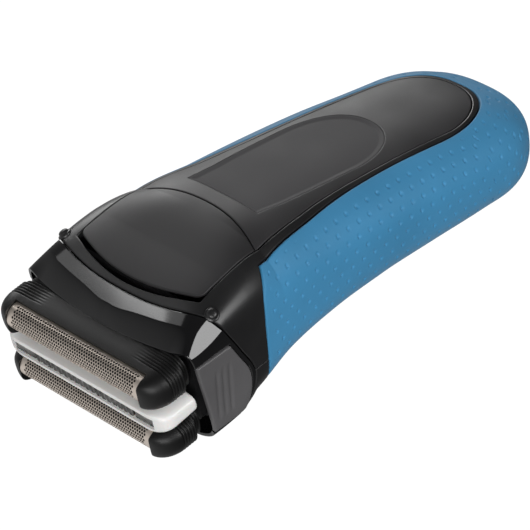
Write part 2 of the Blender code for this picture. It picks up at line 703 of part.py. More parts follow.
def build_drive():
    centre = (0, MOTOR_Z)
    rings = []
    for y, radius in ((MOTOR_Y[0] - 1.2, 3.4), (MOTOR_Y[0], 3.6), (MOTOR_Y[0] + 0.1, MOTOR_RADIUS),
                      (MOTOR_Y[1] - 0.1, MOTOR_RADIUS), (MOTOR_Y[1], 4.2), (MOTOR_Y[1] + 1.4, 4.0)):
        rings.append([(x, y, z) for x, z in circle(radius, 20, centre)])
    loft("motor", rings, "steel")

    rings = []
    for y, radius, shift in ((MOTOR_Y[0] - 1.6, 1.0, 0), (CRANK_Y[1] + 0.02, 1.0, 0),
                             (CRANK_Y[1], CRANK_RADIUS, 0), (CRANK_Y[0] + 0.02, CRANK_RADIUS, 0),
                             (CRANK_Y[0], CRANK_PIN, CRANK_THROW), (-57.6, CRANK_PIN, CRANK_THROW)):
        rings.append([(x, y, z) for x, z in circle(radius, 16, (0, shift))])
    crank = loft("eccentric_crank", rings, "white")
    crank.location = Vector((0, 0, MOTOR_Z)) * MM

    mount = prism("motor_mount", rounded_rectangle(20, 9.5, 4, centre), *MOUNT_Y, "black", axes="xzy")
    boolean(mount, hide_helper(tube_along_y("cut_shaft", 2.0, -60, -30, centre, None)))
    for number, x in enumerate((-14, 14), 1):
        hole = hide_helper(tube_along_y(f"cut_screw_{number}", 1.2, -60, -30, (x, MOTOR_Z), None, 12))
        boolean(mount, hole)
        rings = [[(px, y, pz) for px, pz in circle(radius, 12, (x, MOTOR_Z))] for y, radius in
                 ((MOUNT_Y[0] - 1.6, 1.8), (MOUNT_Y[0] - GAP, 2.0), (MOUNT_Y[0] - GAP + 0.02, 0.9),
                  (MOUNT_Y[1] + 3.0, 0.9))]
        loft(f"mount_screw_{number}", rings, "steel")

    rings = []
    for y, radius in ((CELL_Y[0] - 1.0, 2.4), (CELL_Y[0], 2.4), (CELL_Y[0] + 0.02, CELL_RADIUS),
                      (CELL_Y[1], CELL_RADIUS)):
        rings.append([(x, y, z) for x, z in circle(radius, 20, (0, CELL_Z))])
    loft("battery_cell", rings, "green")
    box("circuit_board", (-13, -8, BOARD_Z), (13, 52, BOARD_Z + 1.2), "green")
    box("power_switch", (-3, SWITCH_Y[0], BOARD_Z - 1.4), (3, SWITCH_Y[1], BOARD_Z - GAP), "black")

    wall = prism("neck_bulkhead", rounded_rectangle(*BULKHEAD_HALF, 6, (0, BULKHEAD_Z)), *BULKHEAD_Y, "black",
                 axes="xzy")
    boolean(wall, hide_helper(tube_along_y("cut_drive_hole", 4.4, -70, -40, (0, MOTOR_Z), None, 16)))
    outer = rounded_rectangle(BULKHEAD_HALF[0] + 1.6, BULKHEAD_HALF[1] + 1.6, 7, (0, BULKHEAD_Z))
    seal = prism("neck_seal", outer, *BULKHEAD_Y, "rubber", axes="xzy")
    inner = rounded_rectangle(BULKHEAD_HALF[0] + GAP, BULKHEAD_HALF[1] + GAP, 6.3, (0, BULKHEAD_Z))
    boolean(seal, hide_helper(prism("cut_seal", inner, -70, -40, axes="xzy")))


def build_controls(front):
    """Power button and indicator lens in the front housing, which faces down here."""
    boolean(front, hide_helper(prism("cut_power", circle(POWER_RADIUS + GAP, 24, (0, POWER_Y)), -9, 12)))
    lens = rounded_rectangle(*LENS_HALF, 1.4, (0, LENS_Y))
    hole = rounded_rectangle(LENS_HALF[0] + GAP, LENS_HALF[1] + GAP, 1.6, (0, LENS_Y))
    boolean(front, hide_helper(prism("cut_lens", hole, -9, 12)))
    bottom = section(POWER_Y, 0)[2]
    rings = []
    for z, radius in ((-0.2, POWER_RADIUS - 1.4), (0.1, POWER_RADIUS - 0.3), (0.5, POWER_RADIUS),
                      (1.3, POWER_RADIUS)):
        rings.append([(x, y, bottom + z) for x, y in circle(radius, 24, (0, POWER_Y))])
    loft("power_button", rings, "dark_grey")
    low = section(LENS_Y, 0)[2]
    prism("indicator_lens", lens, low + 0.1, low + 1.5, "lens")


def build_socket(upper, lower):
    hole = rounded_rectangle(SOCKET_HALF[0] + GAP, SOCKET_HALF[1] + GAP, 1.5, (0, SOCKET_Z))
    for item, name in ((upper, "cut_socket_back"), (lower, "cut_socket_front")):
        boolean(item, hide_helper(prism(name, hole, 60, 95, axes="xzy")))
    cup = prism("power_socket", rounded_rectangle(*SOCKET_HALF, 1.3, (0, SOCKET_Z)), *SOCKET_Y, "black",
                axes="xzy")
    pocket = rounded_rectangle(*POCKET_HALF, 1.0, (0, SOCKET_Z))
    boolean(cup, hide_helper(prism("cut_pocket", pocket, POCKET_FLOOR, 90, axes="xzy")))
    for side, x in (("right", 1.9), ("left", -1.9)):
        tube_along_y(f"socket_pin_{side}", PIN_RADIUS, POCKET_FLOOR + GAP, PIN_TIP, (x, SOCKET_Z),
                     "steel", 10)


def main():
    clear_scene()
    front = build_handle()
    build_back_cover()
    upper, lower = build_chassis()
    build_trimmer()
    build_head_block()
    build_catches()
    build_foil_element("upper", ELEMENT_PITCH)
    build_foil_element("lower", -ELEMENT_PITCH)
    build_middle_element()
    build_head_inside()
    build_drive()
    build_controls(front)
    build_socket(upper, lower)


main()
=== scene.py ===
"""Cordless foil shaver: detailed skins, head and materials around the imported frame.

Sizes are in millimetres and become metres when a mesh is made. X is the width, the head points to -Y, Z is up.
"""

import json
import math

import bpy
import numpy as np
from mathutils import Matrix, Vector, kdtree

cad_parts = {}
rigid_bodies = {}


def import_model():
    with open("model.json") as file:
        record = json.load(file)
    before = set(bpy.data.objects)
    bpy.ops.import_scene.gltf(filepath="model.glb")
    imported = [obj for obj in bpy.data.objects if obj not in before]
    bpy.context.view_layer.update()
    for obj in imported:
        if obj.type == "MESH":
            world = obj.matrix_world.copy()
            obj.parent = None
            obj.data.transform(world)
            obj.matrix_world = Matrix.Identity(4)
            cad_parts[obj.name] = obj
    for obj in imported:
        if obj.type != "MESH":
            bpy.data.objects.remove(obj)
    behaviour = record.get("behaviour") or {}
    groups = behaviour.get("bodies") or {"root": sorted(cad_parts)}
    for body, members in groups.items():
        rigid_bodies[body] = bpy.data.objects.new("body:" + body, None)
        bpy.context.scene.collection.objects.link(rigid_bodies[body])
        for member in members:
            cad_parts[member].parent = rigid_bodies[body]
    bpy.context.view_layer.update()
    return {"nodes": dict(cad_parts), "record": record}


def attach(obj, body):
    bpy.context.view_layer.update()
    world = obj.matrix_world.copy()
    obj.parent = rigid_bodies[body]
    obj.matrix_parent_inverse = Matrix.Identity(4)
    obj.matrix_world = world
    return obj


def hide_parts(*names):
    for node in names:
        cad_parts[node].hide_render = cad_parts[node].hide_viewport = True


for item in list(bpy.data.objects):
    bpy.data.objects.remove(item, do_unlink=True)
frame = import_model()

MM = 0.001
GAP = 0.3
HALF_GAP = GAP / 2

# The handle's section along Y, as in the CAD model
STATIONS = (-70, -57, -44, -31, -12, 8, 28, 46, 62, 72)
HALF_WIDTH = (31.8, 31.7, 31.4, 30.4, 29.6, 29.2, 28.6, 27.5, 26.5, 25.9)
TOP = (31.5, 37.3, 41.2, 43.7, 41.6, 39.0, 36.0, 32.8, 30.2, 28.8)
BOTTOM = (-0.3, -0.3, 1.4, 4.6, 6.4, 5.6, 3.6, 1.1, -0.6, -1.0)
UPPER_POWER = ((-68, 9.5), (-56, 6.2), (-44, 4.6), (-32, 2.7), (-14, 2.5))
LOWER_POWER = ((-52, 9.0), (-45, 5.2), (-30, 4.4), (10, 3.2), (34, 2.9), (52, 2.7))
FOOT_END = 81.5
FOOT_ROUNDING = 26.0

# Outlines on the skin: (y, half width) down the side, then where the round end begins, its apex and power
COVER = (((-54, 23.1), (-34, 22.1), (-8, 18.3), (20, 16.8), (44, 16.2)), (44, 66.2, 2.2))
GRIP = (((-46, 28.0), (-30, 24.4), (-18, 22.2), (0, 19.6), (16, 18.5), (38, 18.0)), (38, 68.2, 2.5))
THUMB = (((-23.2, 13.0), (-6, 13.9), (12, 14.3)), (12, 32.6, 2.2))
FRONT_PANEL = (((-46, 15.0), (-10, 14.0), (30, 12.5)), (30, 52, 2.3))
PANEL_FRONT = (-58.4, 4.8)
PANEL_REAR = (-28.6, -4.9)
RECESS = 1.3
PANEL_LIFT = 0.9
PANEL_LIFT_END = -46.0
GRIP_SEAM = ((0, -39.2), (9, -40.4), (20, -40.4), (28, -40.0), (33, -39.2), (37, -37.0), (41, -33.5))
GRIP_FRONT = -40.4
PARTING_Z = 14.0
SEAM_CENTRE = -61.2
SEAM_SETBACK = 6.2
SEAM_POWER = 2.5
SEAM_SIDE = ((0, 5.0), (8, 8.2), (14, 8.7), (23, 4.6), (33, 0.0), (45, 0.0))
MOUTH_CENTRE = -65.3
MOUTH_SLOPE = 0.161
MOUTH_SETBACK = 3.5

HEAD_PITCH = math.radians(5.0)
HEAD_CENTRE = np.array((0.0, -66.0, 16.9))


# --- surface

def curve(pairs, at):
    """The CAD model's smooth curve through (position, value) pairs."""
    xs, ys = np.array(pairs, float).T
    slopes = np.gradient(ys, xs)
    at = np.clip(at, xs[0], xs[-1])
    k = np.clip(np.searchsorted(xs, at) - 1, 0, len(xs) - 2)
    span = xs[k + 1] - xs[k]
    t = (at - xs[k]) / span
    start = (2 * t ** 3 - 3 * t ** 2 + 1) * ys[k] + (t ** 3 - 2 * t ** 2 + t) * span * slopes[k]
    return start + (3 * t ** 2 - 2 * t ** 3) * ys[k + 1] + (t ** 3 - t ** 2) * span * slopes[k + 1]


def section(y):
    """Half width, middle height, upper and lower half heights and powers of the section at y."""
    u = np.clip((y - (FOOT_END - FOOT_ROUNDING)) / FOOT_ROUNDING, 0, 1)
    shrink = np.maximum(1 - u ** 2.4, 0.0) ** (1 / 2.2)
    half = curve(list(zip(STATIONS, HALF_WIDTH)), y)
    top = curve(list(zip(STATIONS, TOP)), y)
    bottom = curve(list(zip(STATIONS, BOTTOM)), y)
    middle = (top + bottom) / 2
    powers = [np.interp(y, *zip(*table)) for table in (UPPER_POWER, LOWER_POWER)]
    return half * shrink, middle, (top - middle) * shrink, (middle - bottom) * shrink, powers


def skin(psi, y):
    """Points on the handle's surface at angle psi round the section (0 the right side, pi/2 the top)."""
    psi, y = np.broadcast_arrays(np.asarray(psi, float), np.asarray(y, float))
    half, middle, up, low, (upper, lower) = section(y)
    c, s = np.cos(psi), np.sin(psi)
    power = np.where(s >= 0, upper, lower)
    reach = (np.abs(c) ** power + np.abs(s) ** power) ** (-1 / power)
    x = half * c * reach
    z = middle + np.where(s >= 0, up, low) * s * reach
    return np.stack([x, y, np.maximum(z, 0.0)], -1)


def psi_at_x(x, y, top=True):
    half, _, _, _, (upper, lower) = section(np.asarray(y, float))
    power = upper if top else lower
    a = np.clip(np.abs(x) / half, 0, 1)
    psi = np.arctan2((1 - a ** power) ** (1 / power), a)
    return psi if top else -psi


def psi_at_z(z, y):
    half, middle, up, low, (upper, lower) = section(np.asarray(y, float))
    above = z >= middle
    power = np.where(above, upper, lower)
    b = np.clip(np.abs(z - middle) / np.where(above, up, low), 0, 1)
    psi = np.arctan2(b, (1 - b ** power) ** (1 / power))
    return np.where(above, psi, -psi)


def seam(x, z):
    return SEAM_CENTRE + SEAM_SETBACK * np.abs(x / 31.0) ** SEAM_POWER + curve(SEAM_SIDE, z)


def mouth(x, z):
    return MOUTH_CENTRE - MOUTH_SLOPE * z + MOUTH_SETBACK * (x / 31.3) ** 2


def grip_seam(_, z):
    return curve(GRIP_SEAM, z)


def along_points(points):
    """Length from the first of a row of points to each one."""
    return np.concatenate([[0], np.cumsum(np.linalg.norm(np.diff(points, axis=0), axis=1))])


def y_on(surface, psi, offset=0.0, first=-55.0):
    """y where a cut surface crosses the skin at angle psi."""
    y = np.full(np.shape(psi), first)
    for _ in range(25):
        point = skin(psi, y)
        y = 0.5 * y + 0.5 * (surface(point[..., 0], point[..., 2]) + offset)
    return y


def seam_psi(level):
    """Angle at which the edge along the seam reaches a height."""
    psi = psi_at_z(level, -47.0)
    for _ in range(8):
        psi = psi_at_z(level, float(y_on(seam, psi, HALF_GAP)))
    return psi


def bow(line, x, offset=0.0):
    return line[0] + offset + line[1] * (x / COVER[0][0][1]) ** 2


def half_outline(outline, offset, count, start):
    """(x, y) down the right side of an outline and round to its apex, closer at the apex."""
    apex = outline[1][1] + offset
    t = np.linspace(0, 1, count)
    y = start + (apex - start) * (1 - (1 - t) ** 2.2)
    return outline_x(outline, offset, y), y


def outline_x(outline, offset, y):
    side, (begin, apex, power) = outline
    width = side[-1][1] + offset
    s = np.clip((y - begin) / (apex + offset - begin), 0, 1)
    return np.where(y <= begin, curve(side, y) + offset, width * (1 - s ** power) ** (1 / power))


# --- meshes

def new_mesh(name, points, quads, mat, smooth=True, sharp=None):
    """An object from points in millimetres and quads, where a quad whose last two indices agree is a triangle."""
    mesh = bpy.data.meshes.new(name)
    quads = np.asarray(quads, np.int64).reshape(-1, 4)
    triangle = quads[:, 3] == quads[:, 2]
    sizes = np.where(triangle, 3, 4)
    keep = np.ones(quads.shape, bool)
    keep[triangle, 3] = False
    loops = quads[keep]
    mesh.vertices.add(len(points))
    mesh.vertices.foreach_set("co", (np.asarray(points, np.float64) * MM).astype(np.float32).ravel())
    mesh.loops.add(len(loops))
    mesh.loops.foreach_set("vertex_index", loops.astype(np.int32))
    mesh.polygons.add(len(quads))
    starts = np.concatenate([[0], np.cumsum(sizes)[:-1]])
    mesh.polygons.foreach_set("loop_start", starts.astype(np.int32))
    mesh.update(calc_edges=True)
    mesh.validate()
    if smooth:
        mesh.shade_smooth()
        if sharp:
            mesh.set_sharp_from_angle(angle=math.radians(sharp))
    if mat:
        mesh.materials.append(mat)
    return add_object(name, mesh)


def add_object(name, data):
    item = bpy.data.objects.new(name, data)
    bpy.context.scene.collection.objects.link(item)
    return item


def grid_normals(grid):
    normal = np.cross(np.gradient(grid, axis=0), np.gradient(grid, axis=1))
    length = np.linalg.norm(normal, axis=-1, keepdims=True)
    bad = length[..., 0] < 1e-9
    normal = normal / np.maximum(length, 1e-9)
    # a point where lines run together takes the normal of one near it
    for r, c in np.argwhere(bad):
        top, left = max(r - 3, 0), max(c - 3, 0)
        near = np.argwhere(~bad[top:r + 4, left:c + 4])
        if len(near):
            normal[r, c] = normal[top + near[0][0], left + near[0][1]]
    centre = np.array((0.0, 0.0, 18.0))
    outward = (normal * (grid - centre) * np.array((1, 0.3, 1))).sum(-1)
    if np.nanmean(outward) < 0:
        normal, outward = -normal, -outward
    return np.where((outward < -1.0)[..., None], -normal, normal)


def wall_edges(mask, index, open_sides):
    """Edges of a grid's kept cells that have no kept neighbour, each in the cell's own direction."""
    padded = np.pad(mask, 1)
    a, b, c, d = index[:-1, :-1], index[1:, :-1], index[1:, 1:], index[:-1, 1:]
    around = ((padded[:-2, 1:-1], d, a, np.s_[0]), (padded[1:-1, 2:], c, d, np.s_[:, -1]),
              (padded[2:, 1:-1], b, c, np.s_[-1]), (padded[1:-1, :-2], a, b, np.s_[:, 0]))
    found = []
    for side, (neighbour, first, second, rim) in enumerate(around):
        edge = mask & ~neighbour
        if side in open_sides:
            edge[rim] = False
        found.append(np.stack([first[edge], second[edge]], -1))
    return np.concatenate(found)


ON_PLANE = 1e-6


def shell(name, grid, depth, mat, lip=0.35, mask=None, open_sides=(), mirror=True, push=None):
    """A closed solid from a grid of surface points: rolled edges, an inner face, and walls at its edges.

    open_sides are grid sides on the mirror plane, or that close on themselves. push(points, normals, edge)
    gives how far the surface stands out, where edge is the distance to the piece's nearest edge.
    """
    n, m = grid.shape[:2]
    mask = np.ones((n - 1, m - 1), bool) if mask is None else mask
    normal = grid_normals(grid)
    if mirror:
        normal[np.abs(grid[..., 0]) < ON_PLANE, 0] = 0
        normal /= np.maximum(np.linalg.norm(normal, axis=-1, keepdims=True), 1e-9)
    index = np.arange(n * m).reshape(n, m)
    cells = np.stack([index[:-1, :-1], index[1:, :-1], index[1:, 1:], index[:-1, 1:]], -1)[mask]
    walls = wall_edges(mask, index, open_sides)
    flat = grid.reshape(-1, 3)
    if mirror:
        # where a half meets its mirror image it has no wall
        walls = walls[~(np.abs(flat[walls][..., 0]) < ON_PLANE).all(1)]
    flat_normal = normal.reshape(-1, 3)
    edge = np.full(len(flat), 99.0)
    rim = np.unique(walls)
    middles = flat[walls].mean(1)
    tree = kdtree.KDTree(len(rim) * 2)
    for k, v in enumerate(rim):
        tree.insert(flat[v], k)
        tree.insert(middles[k % len(middles)], len(rim) + k)
    tree.balance()
    used = np.unique(cells)
    edge[used] = [tree.find(flat[v])[2] for v in used]
    edge[rim] = 0
    out = np.zeros(len(flat))
    if push:
        out += push(flat, flat_normal, edge)
    near = np.clip(lip - edge, 0, lip)
    out -= lip - np.sqrt(np.maximum(lip ** 2 - near ** 2, 0))
    outer = flat + flat_normal * out[:, None]
    inner = flat + flat_normal * (np.minimum(out, 0.0) * 0.5 - depth)[:, None]
    points = np.concatenate([outer, inner])
    total = len(flat)
    sides = np.stack([walls[:, 0], walls[:, 1], walls[:, 1] + total, walls[:, 0] + total], -1)
    faces = np.concatenate([cells, cells[:, ::-1] + total, sides])
    towards = np.cross(flat[cells[:, 1]] - flat[cells[:, 0]], flat[cells[:, 3]] - flat[cells[:, 0]])
    if (towards * flat_normal[cells[:, 0]]).sum() < 0:
        faces = faces[:, ::-1]
    if mirror:
        points, faces = mirrored(points, faces)
    points, faces = tidy(points, faces)
    return new_mesh(name, points, faces, mat, sharp=50)


def mirrored(points, faces):
    """Adds the copy in x = 0, sharing the points on that plane."""
    on_plane = np.abs(points[:, 0]) < 2e-5
    points = points.copy()
    points[on_plane, 0] = 0
    other = np.arange(len(points)) + len(points)
    other[on_plane] = np.nonzero(on_plane)[0]
    flipped = points * np.array((-1, 1, 1))
    return np.concatenate([points, flipped]), np.concatenate([faces, other[faces][:, ::-1]])


def tidy(points, faces):
    """Welds points that coincide, drops faces that have collapsed and points that no face uses."""
    keys = np.round(points * 5e4).astype(np.int64)
    _, first, back = np.unique(keys, axis=0, return_index=True, return_inverse=True)
    points = points[first]
    faces = back.reshape(-1)[faces]
    same = [faces[:, k] == faces[:, (k + 1) % 4] for k in range(4)]
    twice = np.sum(same, 0)
    kept = [faces[twice == 0]]
    for k in range(4):
        pick = (twice == 1) & same[k]
        tri = np.roll(faces[pick], -k - 1, axis=1)          # the doubled point comes first and last
        kept.append(np.stack([tri[:, 0], tri[:, 1], tri[:, 2], tri[:, 2]], -1))
    faces = np.concatenate(kept)
    good = (faces[:, 0] != faces[:, 2]) & (faces[:, 1] != faces[:, 3]) | (faces[:, 2] == faces[:, 3])
    faces = faces[good]
    used, back = np.unique(faces, return_inverse=True)
    return points[used], back.reshape(-1, 4)


CLUSTER = np.array((0.07, 0.16, 0.28, 0.45, 0.7))    # where a grid's lines lie near an edge


def fractions(width, count, first=True, last=True):
    """Positions from 0 to 1 across each width (mm), closer together near the edges. Shape (len(width), n)."""
    width = np.maximum(np.atleast_1d(width), 1e-6)[:, None]
    near = CLUSTER[None, :] * np.minimum(1.0, width / (CLUSTER[-1] * 4)) / width
    start = near if first else np.zeros((len(width), 0))
    end = (1 - near)[:, ::-1] if last else np.zeros((len(width), 0))
    low = start[:, -1:] if first else np.zeros((len(width), 1))
    high = end[:, :1] if last else np.ones((len(width), 1))
    middle = low + (high - low) * np.linspace(0, 1, count)[None, :]
    pieces = [start[:, :-1], middle, end[:, 1:]]
    if first:
        pieces.insert(0, np.zeros((len(width), 1)))
    if last:
        pieces.append(np.ones((len(width), 1)))
    return np.concatenate(pieces, 1)


def runs(stops, steps):
    """Values through the stops, with that many even steps between each two."""
    return np.concatenate([np.linspace(a, b, n + 1)[:-1] for a, b, n in zip(stops[:-1], stops[1:], steps)]
                          + [[stops[-1]]])


def ruled(inner, outer, count, first=True):
    """(psi, y) grid between two boundary curves in psi and y, spaced in millimetres across."""
    steps = np.linspace(0, 1, 25)[None, :, None]
    probe = inner[:, None] * (1 - steps) + outer[:, None] * steps
    points = skin(probe[..., 0], probe[..., 1])
    lengths = np.linalg.norm(np.diff(points, axis=1), axis=-1)
    along = np.concatenate([np.zeros((len(inner), 1)), np.cumsum(lengths, 1)], 1)
    width = along[:, -1]
    wanted = fractions(width, count, first)
    k = np.empty_like(wanted)
    for r in range(len(inner)):
        if width[r] < 1e-6:
            k[r] = np.linspace(0, 1, wanted.shape[1])
        else:
            k[r] = np.interp(wanted[r] * width[r], along[r], steps[0, :, 0])
    return inner[:, None] * (1 - k[..., None]) + outer[:, None] * k[..., None]


def spread(points, count):
    """The (psi, y) curve resampled evenly by its length on the skin."""
    along = along_points(skin(points[:, 0], points[:, 1]))
    wanted = np.linspace(0, along[-1], count)
    return np.stack([np.interp(wanted, along, points[:, k]) for k in (0, 1)], -1)


def chain(*parts):
    """Joins (psi, y) curves that meet end to end, each given as (points, count)."""
    found = []
    for points, count in parts:
        piece = spread(np.asarray(points), count)
        found.append(piece if not found else piece[1:])
    return np.concatenate(found)


def on_top(x, y):
    return np.stack([psi_at_x(x, y), np.broadcast_to(y, np.shape(x))], -1)


def skin_grid(psi_y, *middle):
    """The skin's points for a (psi, y) grid, with the given rows or columns put on the mirror plane."""
    grid = skin(psi_y[..., 0], psi_y[..., 1])
    for line in middle:
        grid[line][..., 0] = 0
    return grid


def place(piece, body, node):
    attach(piece, body)
    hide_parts(node)


def smooth_step(low, high, at):
    t = np.clip((at - low) / (high - low), 0, 1)
    return t * t * (3 - 2 * t)


# --- materials

def set_inputs(node, **values):
    for key, value in values.items():
        node.inputs[key.replace("_", " ")].default_value = value


def make_material(name, colour, roughness, metallic=0.0, **sockets):
    mat = bpy.data.materials.new(name)
    mat.use_nodes = True
    set_inputs(mat.node_tree.nodes["Principled BSDF"], Base_Color=(*colour, 1), Roughness=roughness,
               Metallic=metallic, **sockets)
    return mat


def noise(mat, scale, detail, stretch=(1, 1, 1)):
    """A noise texture in object space, where scale is features per millimetre."""
    nodes, links = mat.node_tree.nodes, mat.node_tree.links
    coordinate = nodes.get("Coordinate") or nodes.new("ShaderNodeTexCoord")
    coordinate.name = "Coordinate"
    mapping = nodes.new("ShaderNodeMapping")
    mapping.inputs["Scale"].default_value = [s * 1000 * scale for s in stretch]
    texture = nodes.new("ShaderNodeTexNoise")
    set_inputs(texture, Scale=1.0, Detail=detail, Roughness=0.5)
    links.new(coordinate.outputs["Object"], mapping.inputs["Vector"])
    links.new(mapping.outputs["Vector"], texture.inputs["Vector"])
    return texture


def ranged(owner, source, low, high, from_low=0.3, from_high=0.7):
    """A value of a material or world, mapped to low..high."""
    node = owner.node_tree.nodes.new("ShaderNodeMapRange")
    set_inputs(node, From_Min=from_low, From_Max=from_high, To_Min=low, To_Max=high)
    owner.node_tree.links.new(source, node.inputs["Value"])
    return node.outputs["Result"]


def vary(mat, grain=6.0, depth=0.02, tint=0.12, blotch=0.05, rough=0.06, stretch=(1, 1, 1)):
    """Colour and roughness that vary slightly over the surface, and a fine grain in its bump."""
    nodes, links = mat.node_tree.nodes, mat.node_tree.links
    shader = nodes["Principled BSDF"]
    broad = noise(mat, blotch, 4.0)
    fine = noise(mat, grain, 2.0, stretch)
    colour = shader.inputs["Base Color"].default_value
    mix = nodes.new("ShaderNodeMix")
    mix.data_type = "RGBA"
    mix.inputs["A"].default_value = [c * (1 - tint) for c in colour[:3]] + [1]
    mix.inputs["B"].default_value = [min(c * (1 + tint), 1) for c in colour[:3]] + [1]
    links.new(ranged(mat, broad.outputs["Fac"], 0, 1), mix.inputs["Factor"])
    links.new(mix.outputs["Result"], shader.inputs["Base Color"])
    level = shader.inputs["Roughness"].default_value
    both = nodes.new("ShaderNodeMath")
    both.operation = "ADD"
    links.new(ranged(mat, broad.outputs["Fac"], level - rough, level + rough), both.inputs[0])
    links.new(ranged(mat, fine.outputs["Fac"], -rough / 2, rough / 2), both.inputs[1])
    links.new(both.outputs["Value"], shader.inputs["Roughness"])
    bump = nodes.new("ShaderNodeBump")
    set_inputs(bump, Strength=1.0, Distance=depth * MM)
    links.new(fine.outputs["Fac"], bump.inputs["Height"])
    links.new(bump.outputs["Normal"], shader.inputs["Normal"])
    return mat


# name, colour and roughness and metallic, texture as in vary, other sockets
MATERIALS = {name: vary(make_material(name, *basis, **sockets), *texture) for name, basis, texture, sockets in (
    ("blue_grip", ((0.039, 0.226, 0.425), 0.62), (5.0, 0.012, 0.07, 0.04, 0.05),
     dict(Specular_IOR_Level=0.42, Sheen_Weight=0.1, Sheen_Roughness=0.5)),
    ("neck_black", ((0.012, 0.012, 0.0125), 0.34), (7.0, 0.006, 0.15), {}),
    ("gloss_black", ((0.006, 0.006, 0.0065), 0.1), (1.5, 0.0002, 0.15, 0.05, 0.01),
     dict(Coat_Weight=0.5, Coat_Roughness=0.06)),
    ("panel_grey", ((0.016, 0.0152, 0.0164), 0.5), (7.0, 0.012, 0.1), {}),
    ("cover_grey", ((0.024, 0.023, 0.0245), 0.5), (7.0, 0.012, 0.1), {}),
    ("thumb_grey", ((0.047, 0.0455, 0.048), 0.72), (4.0, 0.03, 0.1), {}),
    ("button_grey", ((0.1, 0.098, 0.101), 0.42), (7.0, 0.012, 0.1), {}),
    ("frame_rubber", ((0.0055, 0.0055, 0.0055), 0.42), (5.0, 0.012, 0.15), dict(Specular_IOR_Level=0.3)),
    ("foil_steel", ((0.8, 0.71, 0.63), 0.36, 1.0), (3.0, 0.004, 0.06, 0.3, 0.06), {}),
    ("steel", ((0.46, 0.45, 0.44), 0.32, 1.0), (2.5, 0.004, 0.08, 0.2, 0.08, (0.1, 1, 1)), {}),
    ("dark_steel", ((0.07, 0.066, 0.062), 0.4, 0.8), (2.5, 0.004, 0.08, 0.2, 0.08), {}),
    ("comb_steel", ((0.27, 0.265, 0.26), 0.36, 1.0), (2.5, 0.004, 0.08, 0.2, 0.08), {}),
    ("white", ((0.78, 0.775, 0.76), 0.34), (5.0, 0.004, 0.02),
     dict(Subsurface_Weight=0.05, Subsurface_Scale=0.001)),
    ("inner_black", ((0.01, 0.01, 0.011), 0.55), (5.0, 0.01, 0.15), {}),
    ("seal_rubber", ((0.008, 0.008, 0.009), 0.75), (4.0, 0.02, 0.15), {}),
    ("cell_sleeve", ((0.02, 0.2, 0.09), 0.38), (3.0, 0.004, 0.1), {}),
    ("board_green", ((0.012, 0.1, 0.035), 0.45), (6.0, 0.01, 0.15, 0.4), {}),
    ("lens", ((0.55, 0.62, 0.58), 0.16), (4.0, 0.001, 0.04), dict(Transmission_Weight=0.35)),
    ("brass", ((0.72, 0.55, 0.25), 0.28, 1.0), (3.0, 0.003, 0.08), {}),
)}


# --- handle

def cut_rows(first, last, step, apexes):
    """Rows along Y, much closer together just before each rounded outline's apex."""
    rows = list(np.arange(first, last, step))
    for apex in apexes:
        rows = [y for y in rows if not apex - 5.0 < y < apex + 0.05]
        rows += list(apex - 5.0 * (1 - np.linspace(0, 1, 34)) ** 2.2)
    return np.array(sorted(rows))


def dimples(points, psi_length, edge):
    """Depth of the grip's staggered oval dimples, which stop short of its edges."""
    pitch_y, pitch_s = 4.3, 3.5
    row = np.round(psi_length / pitch_s)
    shift = np.where(row % 2 == 0, 0.0, 0.5)
    dy = (points[:, 1] / pitch_y + shift + 0.5) % 1.0 - 0.5
    ds = psi_length / pitch_s - row
    across = ds * pitch_s / 0.80
    along = (dy * pitch_y) / 0.52
    r = np.sqrt(across ** 2 + along ** 2)
    depth = 0.44 * (1 - smooth_step(0.20, 1.15, r))
    return depth * smooth_step(1.9, 2.3, edge)


def build_grip():
    top_apex, low_apex = GRIP[1][1] + HALF_GAP, FRONT_PANEL[1][1] + HALF_GAP
    rows = cut_rows(GRIP_FRONT, 76.0, 0.36, (top_apex, low_apex))
    turn = np.linspace(0, 1, 36)[1:]
    rows = np.concatenate([rows, rows[-1] + (FOOT_END - 1e-4 - rows[-1]) * np.sin(turn * math.pi / 2)])
    columns = 236
    steps = np.linspace(0, 1, 500)
    grid, lengths = [], []
    for y in rows:
        inner = psi_at_x(outline_x(GRIP, HALF_GAP, y), y) if y < top_apex - 1e-6 else math.pi / 2
        outer = (psi_at_x(outline_x(FRONT_PANEL, HALF_GAP, y), y, False)
                 if y < low_apex - 1e-6 else -math.pi / 2)
        fade = 1 - smooth_step(GRIP_FRONT, -27.0, y)
        probe = np.linspace(inner, outer, 500)
        at = np.full(probe.shape, y)
        if fade > 0:
            target = y_on(grip_seam, probe, HALF_GAP, -40.0)
            at = y + (target - GRIP_FRONT) * fade
            top_psi = psi_at_x(outline_x(GRIP, HALF_GAP, at[0]), at[0])
            low_psi = psi_at_x(outline_x(FRONT_PANEL, HALF_GAP, at[-1]), at[-1], False)
            probe = np.linspace(top_psi, low_psi, 500)
        along = along_points(skin(probe, at))
        wanted = fractions(along[-1], columns, y < top_apex, y < low_apex)[0]
        if len(wanted) < columns + 10:
            wanted = np.linspace(0, 1, columns + 10)
        k = np.interp(wanted * along[-1], along, steps)
        grid.append(skin(np.interp(k, steps, probe), np.interp(k, steps, at)))
        lengths.append(wanted * along[-1])
    grid, lengths = np.array(grid), np.array(lengths)
    girth = (lengths - lengths[:, -1:] * 0.5).reshape(-1)
    grid[rows >= top_apex - 1e-6, 0, 0] = 0
    grid[rows >= low_apex - 1e-6, -1, 0] = 0
    return shell("soft_grip_skin", grid, 1.5, MATERIALS["blue_grip"], lip=0.55, open_sides=(2,),
                 push=lambda points, _, edge: -dimples(points, girth, edge))


